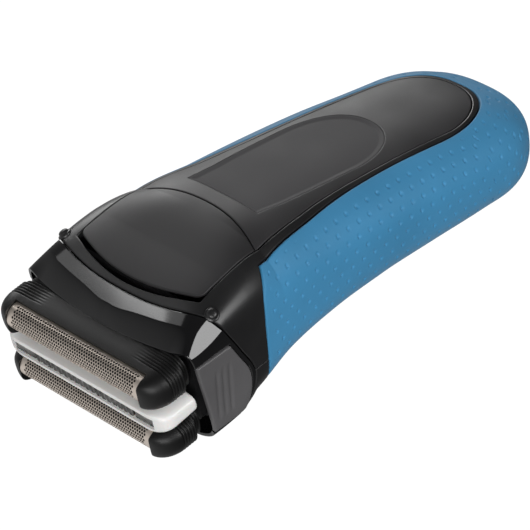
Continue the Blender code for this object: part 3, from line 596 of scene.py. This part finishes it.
def build_back_frame():
    corner_x = curve(COVER[0], -54.0) + HALF_GAP
    corner_y = bow(PANEL_FRONT, corner_x, -RECESS)
    x = np.linspace(0, corner_x, 200)
    inner = [(on_top(x, bow(PANEL_FRONT, x, -RECESS)), 110)]
    for first, last, count in ((corner_y, -47.0, 30), (-47.0, -36.0, 60)):
        y = np.linspace(first, last, 100)
        inner.append((on_top(outline_x(COVER, HALF_GAP, y), y), count))
    inner.append((on_top(*half_outline(COVER, HALF_GAP, 1500, -36.0)), 330))

    level = PARTING_Z + HALF_GAP
    psi = np.linspace(math.pi / 2, seam_psi(level), 900)
    outer = [(np.stack([psi, y_on(seam, psi, HALF_GAP)], -1), 110)]
    rear_y = float(grip_seam(0, PARTING_Z)) - HALF_GAP
    y = np.linspace(outer[0][0][-1, 1], rear_y, 60)
    outer.append((np.stack([psi_at_z(level, y), y], -1), 30))
    top_y = -36.3
    for _ in range(20):
        here = skin(psi_at_x(outline_x(GRIP, -HALF_GAP, top_y), top_y), top_y)
        top_y = 0.5 * top_y + 0.5 * (float(grip_seam(0, here[2])) - HALF_GAP)
    top_psi = psi_at_x(outline_x(GRIP, -HALF_GAP, top_y), top_y)
    psi = np.linspace(psi_at_z(level, rear_y), top_psi, 300)
    outer.append((np.stack([psi, y_on(grip_seam, psi, -HALF_GAP, -40.0)], -1), 60))
    outer.append((on_top(*half_outline(GRIP, -HALF_GAP, 1500, top_y)), 330))
    grid = skin_grid(ruled(chain(*inner), chain(*outer), 34), 0, -1)
    return shell("neck_and_back_frame", grid, 1.5, MATERIALS["neck_black"], open_sides=(0, 2))


def build_front_housing():
    level = PARTING_Z - HALF_GAP
    side_y = float(y_on(seam, seam_psi(level), HALF_GAP))
    rear_y = float(grip_seam(0, PARTING_Z)) - HALF_GAP
    y = np.linspace(side_y, rear_y, 60)
    outer = [(np.stack([psi_at_z(level, y), y], -1), 22)]
    strip_y = -39.6
    strip_psi = psi_at_x(outline_x(FRONT_PANEL, -HALF_GAP, strip_y), strip_y, False)
    strip_y = float(y_on(grip_seam, strip_psi, -HALF_GAP, -40.0))
    psi = np.linspace(psi_at_z(level, rear_y), strip_psi, 300)
    outer.append((np.stack([psi, y_on(grip_seam, psi, -HALF_GAP, -40.0)], -1), 60))
    x, y = half_outline(FRONT_PANEL, -HALF_GAP, 1500, strip_y)
    outer.append((np.stack([psi_at_x(x, y, False), y], -1), 200))
    outer = chain(*outer)
    down = -math.pi / 2
    first = float(y_on(seam, np.array(down), HALF_GAP))
    stops = (first, first + 5.0, -43.0, FRONT_PANEL[1][1] - HALF_GAP)
    inner = chain(*[(np.array([(down, a), (down, b)]), count)
                    for a, b, count in zip(stops[:-1], stops[1:], (22, 60, 200))])
    psi_y = ruled(inner, outer, 44, first=False)
    seam_y = y_on(seam, psi_y[0, :, 0], HALF_GAP)
    fade = np.clip(1 - np.arange(len(inner)) / 60.0, 0, 1)[:, None]
    psi_y[..., 1] += (seam_y - psi_y[0, :, 1])[None, :] * fade
    return shell("front_housing_skin", skin_grid(psi_y, np.s_[:, 0]), 1.5, MATERIALS["neck_black"], open_sides=(3,))


PAD_GAP = 0.02


def build_back_cover():
    thumb_x = THUMB[0][0][1] + PAD_GAP
    x = np.linspace(0, thumb_x, 60)
    first = THUMB[0][0][0] - PAD_GAP
    inner = [(on_top(x, np.full(60, first)), 60)]
    inner.append((on_top(*half_outline(THUMB, PAD_GAP, 1200, first)), 230))
    edge_y = bow(PANEL_REAR, 20.6, HALF_GAP)
    for _ in range(20):
        edge_x = float(curve(COVER[0], edge_y)) - HALF_GAP
        edge_y = bow(PANEL_REAR, edge_x, HALF_GAP)
    x = np.linspace(0, edge_x, 200)
    outer = [(on_top(x, bow(PANEL_REAR, x, HALF_GAP)), 60)]
    outer.append((on_top(*half_outline(COVER, -HALF_GAP, 1500, edge_y)), 230))
    grid = skin_grid(ruled(chain(*inner), chain(*outer), 50), 0, -1)
    return shell("back_cover_skin", grid, 1.5, MATERIALS["cover_grey"], lip=0.3, open_sides=(0, 2))


def build_thumb_rest():
    first = THUMB[0][0][0] + PAD_GAP
    x, y = half_outline(THUMB, -PAD_GAP, 1200, first)
    outer = spread(on_top(x, y), 230)
    inner = np.stack([np.full(230, math.pi / 2), first + (y[-1] - first) * np.linspace(0, 1, 230)], -1)
    grid = skin_grid(ruled(inner, outer, 60, first=False), np.s_[:, 0])
    # a shallow dish
    return shell("thumb_rest_pad", grid, 1.2, MATERIALS["thumb_grey"], lip=0.12, open_sides=(3,),
                 push=lambda points, _, edge: -0.06 - 0.50 * smooth_step(0.1, 1.6, edge))


CORNER = 1.8


def build_trimmer_panel():
    edge_half = curve(COVER[0], -54.0) - HALF_GAP
    c = fractions(22.0, 90, first=False)[0]
    s = fractions(27.0, 110)[0]
    c, s = np.meshgrid(c, s)
    edge_y = bow(PANEL_FRONT, edge_half) * (1 - s) + bow(PANEL_REAR, edge_half, -HALF_GAP) * s
    from_front = np.clip(edge_y - edge_y[:1], 0, CORNER)
    rounded = CORNER - np.sqrt(CORNER ** 2 - (CORNER - from_front) ** 2)
    x = c * (curve(COVER[0], edge_y) - HALF_GAP - rounded)
    y = bow(PANEL_FRONT, x) * (1 - s) + bow(PANEL_REAR, x, -HALF_GAP) * s
    grid = skin(psi_at_x(x, y), y)
    grid[:, 0, 0] = 0
    grid[..., 2] += PANEL_LIFT * np.clip((PANEL_LIFT_END - y) / 12.0, 0, 1) ** 1.3
    return shell("trimmer_panel_skin", grid, 0.65, MATERIALS["panel_grey"], open_sides=(3,))


# --- head

def head_points(x, f, u):
    """World points from head coordinates: x across, f out of the head, u up."""
    c, s = math.cos(HEAD_PITCH), math.sin(HEAD_PITCH)
    x, f, u = np.broadcast_arrays(x, f, u)
    return np.stack([x, -c * f - s * u, -s * f + c * u], -1) + HEAD_CENTRE


SIDES = (("right", 1), ("left", -1))
BUTTON_Z = (3.4, 26.6)
BUTTON_MARGIN = 0.45
BLOCK_RIM = 1.4
# The plane of the flat corner above each release button
FACET_POINT = np.array((28.12, -57.34, 35.42))
FACET_NORMAL = np.array((0.775, -0.124, 0.620))


def block_drop(points, v):
    """How far the block's top falls below the handle's line: none in a band at the seam, then a slope."""
    x, z = points[..., 0], points[..., 2]
    across = 1 - smooth_step(24.0, 31.0, np.abs(x))
    crease = 0.30 + 0.14 * np.exp(-((x - 2) / 6) ** 2)
    slope = np.clip((v - crease) / (1 - crease), 0, 1) ** 1.5
    return np.where(z > 20, 2.0 * slope * (0.25 + 0.75 * across), 0.0)


def block_facet(points):
    """Flattens the corner above each release button to a plane."""
    over = np.maximum(((points - FACET_POINT) * FACET_NORMAL).sum(-1), 0)
    over *= smooth_step(27.5, 28.5, points[..., 2])
    return points - over[..., None] * FACET_NORMAL


def build_head_block():
    rim_rows = 8
    steps = (109, 69, 59)     # cells round the block above, beside and below the release buttons
    marks = np.cumsum((0, *steps))
    v_lines = runs((0, 1, 2), (rim_rows, 63))
    grid = []
    for v in v_lines:
        stops = [math.pi / 2]
        for level in (BUTTON_Z[1] + BUTTON_MARGIN, BUTTON_Z[0] - BUTTON_MARGIN):
            psi = psi_at_z(level, -58.0)
            for _ in range(10):
                psi = psi_at_z(level, block_y(psi, v))
            stops.append(float(psi))
        psi = runs((*stops, -math.pi / 2), steps)
        for _ in range(2):
            along = along_points(skin(psi, block_y(psi, v)))
            psi = np.interp(runs(along[marks], steps), along, psi)
        grid.append(skin(psi, block_y(psi, v)))
    grid = np.array(grid)
    grid[..., 2] -= block_drop(grid, np.clip(v_lines - 1, 0, 1)[:, None])
    grid = block_facet(grid)
    grid[:, (0, -1), 0] = 0
    mask = np.ones((grid.shape[0] - 1, grid.shape[1] - 1), bool)
    mask[rim_rows:, marks[1]:marks[2]] = False
    return shell("head_block_skin", grid, 0.9, MATERIALS["gloss_black"], lip=0.3, mask=mask, open_sides=(1, 3))


def block_y(psi, v):
    """y of the block's row v: 0 at the seam, 1 at the rim behind the buttons, 2 at the mouth."""
    rear = y_on(seam, psi, -HALF_GAP)
    rear_rim = rear - BLOCK_RIM + HALF_GAP
    front = y_on(mouth, psi, 0.0, -68.0)
    return np.where(v <= 1, rear + (rear_rim - rear) * v, rear_rim + (front - rear_rim) * (v - 1))


def build_release_buttons():
    z = fractions(BUTTON_Z[1] - BUTTON_Z[0], 90)[0] * (BUTTON_Z[1] - BUTTON_Z[0]) + BUTTON_Z[0]
    s = fractions(15.0, 70)[0]
    grid = []
    for level in z[::-1]:
        psi = psi_at_z(level, -58.0)
        rear = front = -58.0
        for _ in range(25):
            here = skin(psi_at_z(level, rear), rear)
            rear = 0.5 * rear + 0.5 * (float(seam(here[0], here[2])) - BLOCK_RIM - GAP)
            here = skin(psi_at_z(level, front), front)
            front = 0.5 * front + 0.5 * (float(mouth(here[0], here[2])) + 0.2)
        y = rear + (front - rear) * s
        grid.append(skin(psi_at_z(level, y), y))
    grid = np.array(grid)

    def push(points, _, edge):
        """Three grooves across the middle of the button."""
        y, height = points[:, 1], points[:, 2]
        middle = -57.6 + 0.06 * (height - 14)
        groove = np.zeros(len(points))
        for offset in (-2.3, 0.0, 2.3):
            groove += np.exp(-((y - middle - offset) / 0.62) ** 2)
        reach = smooth_step(6.0, 9.0, height) * (1 - smooth_step(19.5, 23.0, height))
        return 0.25 - 0.32 * groove * reach

    return [shell(f"release_button_skin_{side}", grid * (sign, 1, 1), 0.85, MATERIALS["button_grey"], lip=0.5,
                  mirror=False, push=push) for side, sign in SIDES]


def lofted(name, rings, mat, sharp=40):
    """A closed loft through rings (n, m, 3), with a fan at each end."""
    rings = np.asarray(rings)
    n, m = rings.shape[:2]
    points = rings.reshape(-1, 3)
    index = np.arange(n * m).reshape(n, m)
    right = np.roll(index, -1, axis=1)
    faces = [np.stack([index[:-1], right[:-1], right[1:], index[1:]], -1).reshape(-1, 4)]
    for ring, order in ((0, [1, 0, 2, 2]), (n - 1, [0, 1, 2, 2])):
        fan = np.stack([index[ring], right[ring], np.full(m, len(points))], -1)
        faces.append(fan[:, order])
        points = np.concatenate([points, [rings[ring].mean(0)]])
    faces = np.concatenate(faces)
    solid = points[faces[:, :3]]
    if np.linalg.det(solid - points.mean(0)).sum() < 0:
        faces = np.where((faces[:, 2] == faces[:, 3])[:, None], faces[:, [1, 0, 2, 2]], faces[:, ::-1])
    return new_mesh(name, points, faces, mat, sharp=sharp)


def box_cutter(low, high):
    corners = [head_points(x, f, u) for f in (low[1], high[1]) for u in (low[2], high[2])
               for x in (low[0], high[0])]
    points = np.array(corners)[[0, 1, 3, 2, 4, 5, 7, 6]]
    quads = [(0, 3, 2, 1), (4, 5, 6, 7), (0, 1, 5, 4), (1, 2, 6, 5), (2, 3, 7, 6), (3, 0, 4, 7)]
    return new_mesh("cutter", points, quads, None, smooth=False)


def circle(angles):
    return np.stack([np.cos(angles), np.sin(angles)], -1)


def rounded_box(half, corner, centre, low, high, axes):
    """A rounded rectangle in two axes, run from low to high along the third, as a Boolean cutter."""
    outline = []
    for quarter in range(4):
        turn = np.radians(np.linspace(0, 90, 9) + 90 * quarter)
        middle = (np.array(half) - corner) * ((1, 1), (-1, 1), (-1, -1), (1, -1))[quarter]
        outline.append(middle + corner * circle(turn) + centre)
    outline = np.concatenate(outline)
    rings = np.zeros((2, len(outline), 3))
    rings[:, :, axes[0]], rings[:, :, axes[1]] = outline[:, 0], outline[:, 1]
    rings[0, :, axes[2]], rings[1, :, axes[2]] = low, high
    return lofted("cutter", rings, None)


def cut(item, cutters):
    """Cuts shapes out of an object and removes them."""
    for cutter in cutters:
        modifier = item.modifiers.new("Cut", "BOOLEAN")
        modifier.object = cutter
        graph = bpy.context.evaluated_depsgraph_get()
        made = bpy.data.meshes.new_from_object(item.evaluated_get(graph))
        item.modifiers.clear()
        old = item.data
        item.data = made
        bpy.data.meshes.remove(old)
        bpy.data.objects.remove(cutter, do_unlink=True)
    item.data.name = item.name
    item.data.shade_smooth()
    item.data.set_sharp_from_angle(angle=math.radians(38))
    return item


def bulb_outline(half, flat, top, low, cap_power, count_flat, count_cap):
    """Points (x, u) round a bar seen from its front: flat above and below, rounded at both ends."""
    xs = np.linspace(-flat, flat, count_flat)
    turn = np.linspace(0, math.pi, count_cap)[1:-1]
    reach = half - flat
    s, c = np.sin(turn), np.cos(turn)
    x = flat + reach * s ** (2 / cap_power)
    u = np.where(c >= 0, top, low) * np.sign(c) * np.abs(c) ** (2 / cap_power)
    outline = [np.stack([xs, np.full(count_flat, top)], -1), np.stack([x, u], -1),
               np.stack([xs[::-1], np.full(count_flat, -low)], -1), np.stack([-x[::-1], u[::-1]], -1)]
    return np.concatenate(outline)


RIB_PITCH = 0.95
RIB_END = 7.2
RIB_DEPTH = 0.46
FOIL_NOSE = 14.0
FOIL_EDGE = 24.95


def build_foil_frame(place_name, centre, top, low, foil_centre, foil_radius):
    """The soft bar that holds a foil: smooth rounded ends in front, bellows ribs behind them."""
    back, nose, start = -0.45, 14.1, 6.0
    f_values = np.concatenate([np.arange(back, RIB_END + 0.3, RIB_PITCH / 9),
                               RIB_END + 0.4 + (nose - RIB_END - 0.4)
                               * np.sin(np.linspace(0, 1, 46)[:-1] * math.pi / 2)])
    rings = []
    for f in f_values:
        t = np.clip((f - start) / (nose - start), 0, 1)
        size = (1 - t ** 2.2) ** (1 / 2.2)
        flat = 24.6
        # the ends draw in at the back, where the release buttons stand
        reach = (31.2 - flat) * size - 1.9 * (1 - smooth_step(1.2, 2.9, f))
        height = 0.42 + 0.58 * size
        outline = bulb_outline(flat + reach, flat, top * height, low * height, 2.4, 120, 74)
        along = np.gradient(outline, axis=0)
        normal = np.stack([-along[:, 1], along[:, 0]], -1)
        normal /= np.linalg.norm(normal, axis=1, keepdims=True)
        rib = 0.0
        if f < RIB_END:
            groove = 0.5 + 0.5 * np.cos(2 * math.pi * (RIB_END - f) / RIB_PITCH)
            rib = RIB_DEPTH * groove ** 1.3
        elif f < RIB_END + 0.35:
            rib = RIB_DEPTH * (1 - (f - RIB_END) / 0.35) ** 2
        on_end = smooth_step(16.5, 25.5, np.abs(outline[:, 0]))
        outline = outline - normal * (rib * on_end)[:, None]
        rings.append(head_points(outline[:, 0], f, centre + outline[:, 1]))
    frame_piece = lofted(f"foil_frame_skin_{place_name}", rings, MATERIALS["frame_rubber"])
    inside, tall = FOIL_EDGE + 0.12, foil_radius + 0.12
    return cut(frame_piece, [box_cutter((-inside, -5, foil_centre - tall), (inside, 20, foil_centre + tall)),
                             box_cutter((-inside - 0.02, 9.5, centre - 9), (inside + 0.02, 20, centre + 9))])


def build_foil(place_name, centre, radius):
    """A thin foil over a half round, with a fine staggered pattern of holes between plain end strips."""
    pitch, hole_size, plain, sheet = 0.90, 0.385, 1.6, 0.09
    arc = math.pi * radius
    s_max = arc / 2 + 3.0
    rise = pitch * math.sqrt(3) / 2
    columns = int(2 * FOIL_EDGE / pitch) + 3
    rows = int(2 * s_max / rise) + 3
    points, faces = [], []
    angles = np.radians(np.arange(6) * 60 + 30)
    corner = circle(angles) * pitch / math.sqrt(3)
    hole = circle(angles) * hole_size
    for r in range(-rows // 2, rows // 2 + 1):
        for k in range(-columns // 2 - 1, columns // 2 + 2):
            x, s = (k + 0.5 * (r % 2)) * pitch, r * rise
            if abs(x) > FOIL_EDGE + pitch * 0.5 or abs(s) > s_max + rise * 0.6:
                continue
            outer = corner + (x, s)
            outer[:, 0] = np.clip(outer[:, 0], -FOIL_EDGE, FOIL_EDGE)
            outer[:, 1] = np.clip(outer[:, 1], -s_max, s_max)
            base = len(points)
            points.extend((*p, 0.0) for p in outer)
            if abs(x) < FOIL_EDGE - plain and abs(s) < arc / 2:
                points.extend((*p, level) for level in (0.0, -sheet) for p in hole + (x, s))
                for j in range(6):
                    n = (j + 1) % 6
                    faces.append((base + j, base + n, base + 6 + n, base + 6 + j))
                    faces.append((base + 6 + j, base + 6 + n, base + 12 + n, base + 12 + j))
            else:
                faces.append((base, base + 1, base + 2, base + 3))
                faces.append((base, base + 3, base + 4, base + 5))
    flat = np.array(points)
    s, level = flat[:, 1], radius + flat[:, 2]
    angle = np.clip(s, -arc / 2, arc / 2) / radius
    beyond = np.abs(s) - arc / 2
    middle = FOIL_NOSE - radius
    f = middle + np.where(beyond > 0, -beyond, level * np.cos(angle))
    u = np.where(beyond > 0, np.sign(s) * level, level * np.sin(angle))
    world, quads = tidy(head_points(flat[:, 0], f, centre + u), np.array(faces))
    return new_mesh(f"foil_mesh_{place_name}", world, quads, MATERIALS["foil_steel"], sharp=45)


def build_cutters(place_name, centre, foil_radius):
    """Many thin half-round blades on a carrier, seen through the foil's holes."""
    turn = np.linspace(-math.pi / 2, math.pi / 2, 13)
    rings = []
    blades, half, thick = 37, 22.8, 0.2
    middle, tip = FOIL_NOSE - foil_radius, foil_radius - 0.35
    pitch = 2 * half / (blades - 1)
    for k in range(blades):
        x = -half + k * pitch
        for edge, radius in ((-thick, tip - 1.3), (-thick, tip), (thick, tip), (thick, tip - 1.3)):
            arc = [(5.8, -1.9), *(circle(turn) * radius + (middle, 0)), (5.8, 1.9)]
            rings.append([head_points(x + edge * (1.0 if radius == tip else 1.02), f, centre + u)
                          for f, u in arc])
    return lofted(f"cutter_blades_{place_name}", rings, MATERIALS["dark_steel"], sharp=30)


MIDDLE_CENTRE = -1.6
COMB_HALF = 26.7
COMB_TOP, COMB_LOW = -0.25, -3.5
FINGER_PITCH = 2.075


def build_middle():
    """The white bar between the foils, with rounded corners that wrap back round the head's sides."""
    back, nose, start = 0.6, 12.75, 7.0
    f_values = np.concatenate([back + np.array((0, 0.05, 0.15, 0.35, 0.7)), np.linspace(back + 1.2, start, 12),
                               start + (nose - start) * np.sin(np.linspace(0, 1, 40)[1:] * math.pi / 2)])
    rings = []
    for f in f_values:
        t = np.clip((f - start) / (nose - start), 0, 1)
        size = (1 - np.clip(t, 0, 0.9999) ** 2.7) ** (1 / 2.7)
        flat = 24.0
        rise = np.clip((f - back) / 0.7, 0, 1)
        heel = 0.45 * (1 - np.sqrt(rise * (2 - rise)))
        reach = (30.9 - flat) * size - heel
        edge = 0.86 + 0.14 * size
        lower = 3.2 - 1.1 * np.clip((11 - f) / 10, 0, 1)
        outline = bulb_outline(flat + reach, flat, (2.9 - heel) * edge, (lower - heel) * edge, 4.0, 90, 64)
        rings.append(head_points(outline[:, 0], f, MIDDLE_CENTRE + outline[:, 1]))
    piece = lofted("middle_frame_skin", rings, MATERIALS["white"])
    half = COMB_HALF + 0.15
    return cut(piece, [box_cutter((-half, -5, COMB_LOW - 0.1), (half, 20, COMB_TOP + 0.1))])


def build_comb():
    """The middle trimmer's guard: plain ends, and fingers whose rounded tips reach over the white rim."""
    points, faces = [], []

    def slab(outline, f_low, f_high, drop=None):
        n, base = len(outline), len(points)
        for face, f in enumerate((f_low, f_high)):
            for j, (x, u) in enumerate(outline):
                points.append(head_points(x, f - (drop[j] if face and drop else 0.0), u))
        for j in range(n):
            k = (j + 1) % n
            faces.append((base + j, base + k, base + n + k, base + n + j))
        for start, step in ((base, -1), (base + n, 1)):
            for j in range(1, n - 1):
                tri = (start, start + j, start + j + 1)[::step]
                faces.append((*tri, tri[2]))

    inner = 19.4
    for sign in (-1, 1):
        x0, x1 = sorted((sign * inner, sign * COMB_HALF))
        slab([(x0, COMB_LOW), (x1, COMB_LOW), (x1, COMB_TOP), (x0, COMB_TOP)], 11.2, 12.0)
    slab([(-inner - 0.3, -1.75), (inner + 0.3, -1.75), (inner + 0.3, -1.1), (-inner - 0.3, -1.1)], 10.9, 11.3)
    # one side of a finger: half width, height, and how far its face lies back
    side = [(0.36, -0.25, 0.5), (0.62, -1.3, 0.1), (0.72, -2.4, 0.0), (0.62, -3.2, 0.05), (0.36, -3.62, 0.2)]
    shape = [(-x, u) for x, u, _ in side] + [(0, -3.76)] + [(x, u) for x, u, _ in side[::-1]]
    drop = [back for *_, back in side] + [0.3] + [back for *_, back in side[::-1]]
    for k in range(18):
        x = (k - 8.5) * FINGER_PITCH + 0.1
        slab([(x + dx + 0.10 * (-u - 2), u) for dx, u in shape], 11.3, 12.35, drop)
    return new_mesh("middle_comb_fingers", np.array(points), np.array(faces), MATERIALS["comb_steel"], smooth=False)


# radius and height of a catch's bump
CATCH = ((2.0, -0.6), (2.0, 0.12), (1.85, 0.26), (1.6, 0.3), (1.45, 0.42), (1.38, 0.75), (1.2, 1.0), (0.9, 1.15),
         (0.5, 1.22), (0.2, 1.24))


def build_catches():
    found = []
    turn = np.linspace(0, 2 * math.pi, 41)[:-1, None]
    for side, sign in SIDES:
        centre = skin(psi_at_x(28.0, -55.2), -55.2) * (sign, 1, 1)
        normal = np.array((sign * 0.52, -0.22, 0.82))
        normal /= np.linalg.norm(normal)
        across = np.cross(normal, (0, 1, 0))
        across /= np.linalg.norm(across)
        round_it = np.cos(turn) * across + np.sin(turn) * np.cross(normal, across)
        rings = [centre + height * normal + radius * round_it for radius, height in CATCH]
        found.append(lofted(f"catch_bump_{side}", rings, MATERIALS["neck_black"], sharp=60))
    return found


# --- stage

# name, target, direction to the light, width, height and power
LIGHTS = (
    ("right_rear", (0.03, -0.058, 0.033), (0.80, 0.30, 0.52), 0.70, 0.70, 9.0),     # the side and the corner facet
    ("left_glow", (0.0, -0.065, 0.0335), (-0.63, -0.06, 0.77), 0.27, 0.45, 0.36),   # the head block's top
    ("left_spot", (0.0, -0.065, 0.0335), (-0.619, -0.10, 0.778), 0.16, 0.064, 0.12),
    ("left_rear", (0, 0, 0.03), (-0.80, 0.50, 0.36), 0.80, 0.60, 8.0),              # the back's broad sheen
    ("front", (0, 0, 0.02), (0.62, -0.70, 0.36), 0.80, 0.80, 12.0),                 # what faces the camera's side
)
LIGHT_DISTANCE = 1.3
FLOOR_HALF = 6000


def light(name, location, target, size, size_y, power):
    data = bpy.data.lights.new(name, "AREA")
    data.shape = "RECTANGLE"
    data.size, data.size_y, data.energy = size, size_y, power
    item = add_object(name, data)
    item.location = location
    item.rotation_mode = "QUATERNION"
    item.rotation_quaternion = (Vector(target) - Vector(location)).to_track_quat("-Z", "Y")


def build_stage():
    scene = bpy.context.scene
    scene.view_settings.view_transform = "Standard"
    camera_data = bpy.data.cameras.new("Camera")
    camera_data.lens = 230.943
    camera_data.sensor_width = 36.0
    camera_data.clip_start, camera_data.clip_end = 0.01, 50.0
    camera = add_object("Camera", camera_data)
    right = Vector((0.70432, 0.70332, -0.09634))
    up = Vector((-0.37091, 0.48032, 0.79481))
    back = Vector((0.60528, -0.52406, 0.59917))
    rotation = Matrix((right, up, back)).transposed().to_4x4()
    camera.matrix_world = Matrix.Translation((0.55539, -0.49218, 0.5621)) @ rotation
    scene.camera = camera

    white = vary(make_material("floor_white", (0.05, 0.05, 0.05), 0.9, Emission_Color=(1, 1, 1, 1),
                               Emission_Strength=1.0), 0.02, 0.0, 0.004)
    corners = [(FLOOR_HALF * x, FLOOR_HALF * y, 0) for x, y in ((-1, -1), (1, -1), (1, 1), (-1, 1))]
    floor = new_mesh("floor", corners, [(0, 1, 2, 3)], white, smooth=False)
    floor.location.z = -0.0001
    # the bright floor is a backdrop: it doesn't light the object or show in its gloss
    floor.visible_diffuse = False
    floor.visible_glossy = False
    floor.visible_shadow = False

    world = bpy.data.worlds.new("World")
    world.use_nodes = True
    nodes, links = world.node_tree.nodes, world.node_tree.links
    nodes["Background"].inputs["Color"].default_value = (1, 1, 1, 1)
    # brighter towards one side
    coordinate = nodes.new("ShaderNodeTexCoord")
    towards = nodes.new("ShaderNodeVectorMath")
    towards.operation = "DOT_PRODUCT"
    towards.inputs[1].default_value = (-0.50, -0.62, -0.60)
    links.new(coordinate.outputs["Generated"], towards.inputs[0])
    level = ranged(world, towards.outputs["Value"], 0.05, 0.62, -0.1, 0.9)
    links.new(level, nodes["Background"].inputs["Strength"])
    scene.world = world
    for name, target, direction, size, size_y, power in LIGHTS:
        aim = np.array(direction) / np.linalg.norm(direction)
        light(name, np.array(target) + LIGHT_DISTANCE * aim, target, size, size_y, power)


# Openings as rounded_box takes them: half size, corner radius, centre, from, to, axes
SOCKET = ((6.1, 4.5), 1.5, (0, 15), 60, 95, (0, 2, 1))
POWER_BUTTON = ((6.5, 6.5), 6.499, (0, -13), -9, 12, (0, 1, 2))
INDICATOR = ((5.3, 1.9), 1.6, (0, 9), -9, 12, (0, 1, 2))
# name, centre, height above and below it, the foil's centre and radius
FOIL_FRAMES = (("upper", 7.9, 5.1, 6.0, 8.1, 3.9), ("lower", -9.0, 4.0, 6.1, -8.9, 3.5))
# the CAD's material slots whose material here has another name
RENAMED = {"satin_black": "neck_black", "dark_grey": "cover_grey", "inner_plastic": "inner_black",
           "board": "board_green", "seal": "seal_rubber", "brass_pin": "brass"}


def main():
    place(cut(build_grip(), [rounded_box(*SOCKET)]), "handle", "soft_grip")
    place(build_back_frame(), "handle", "back_frame")
    place(cut(build_front_housing(), [rounded_box(*POWER_BUTTON), rounded_box(*INDICATOR)]), "handle",
          "front_housing")
    place(build_back_cover(), "handle", "back_cover")
    place(build_thumb_rest(), "handle", "thumb_rest")
    place(build_trimmer_panel(), "trimmer", "trimmer_panel")
    place(build_head_block(), "handle", "head_block")
    for piece, (side, _) in zip(build_release_buttons(), SIDES):
        place(piece, f"release_{side}", f"release_button_{side}")
    for piece, (side, _) in zip(build_catches(), SIDES):
        place(piece, "handle", f"catch_{side}")
    for name, centre, top, low, foil, radius in FOIL_FRAMES:
        place(build_foil_frame(name, centre, top, low, foil, radius), f"{name}_foil",
              f"foil_frame_{name}")
        place(build_foil(name, foil, radius), f"{name}_foil", f"foil_{name}")
        place(build_cutters(name, foil, radius), f"{name}_cutter", f"cutter_block_{name}")
    place(build_middle(), "middle_trimmer", "middle_frame")
    place(build_comb(), "middle_trimmer", "middle_comb")

    for entry in frame["record"]["subparts"]:
        node = frame["nodes"].get(entry.get("node"))
        if node is None:
            continue
        node.data.materials.clear()
        slot = entry["material_slot"]
        node.data.materials.append(MATERIALS[RENAMED.get(slot, slot)])
    build_stage()


main()
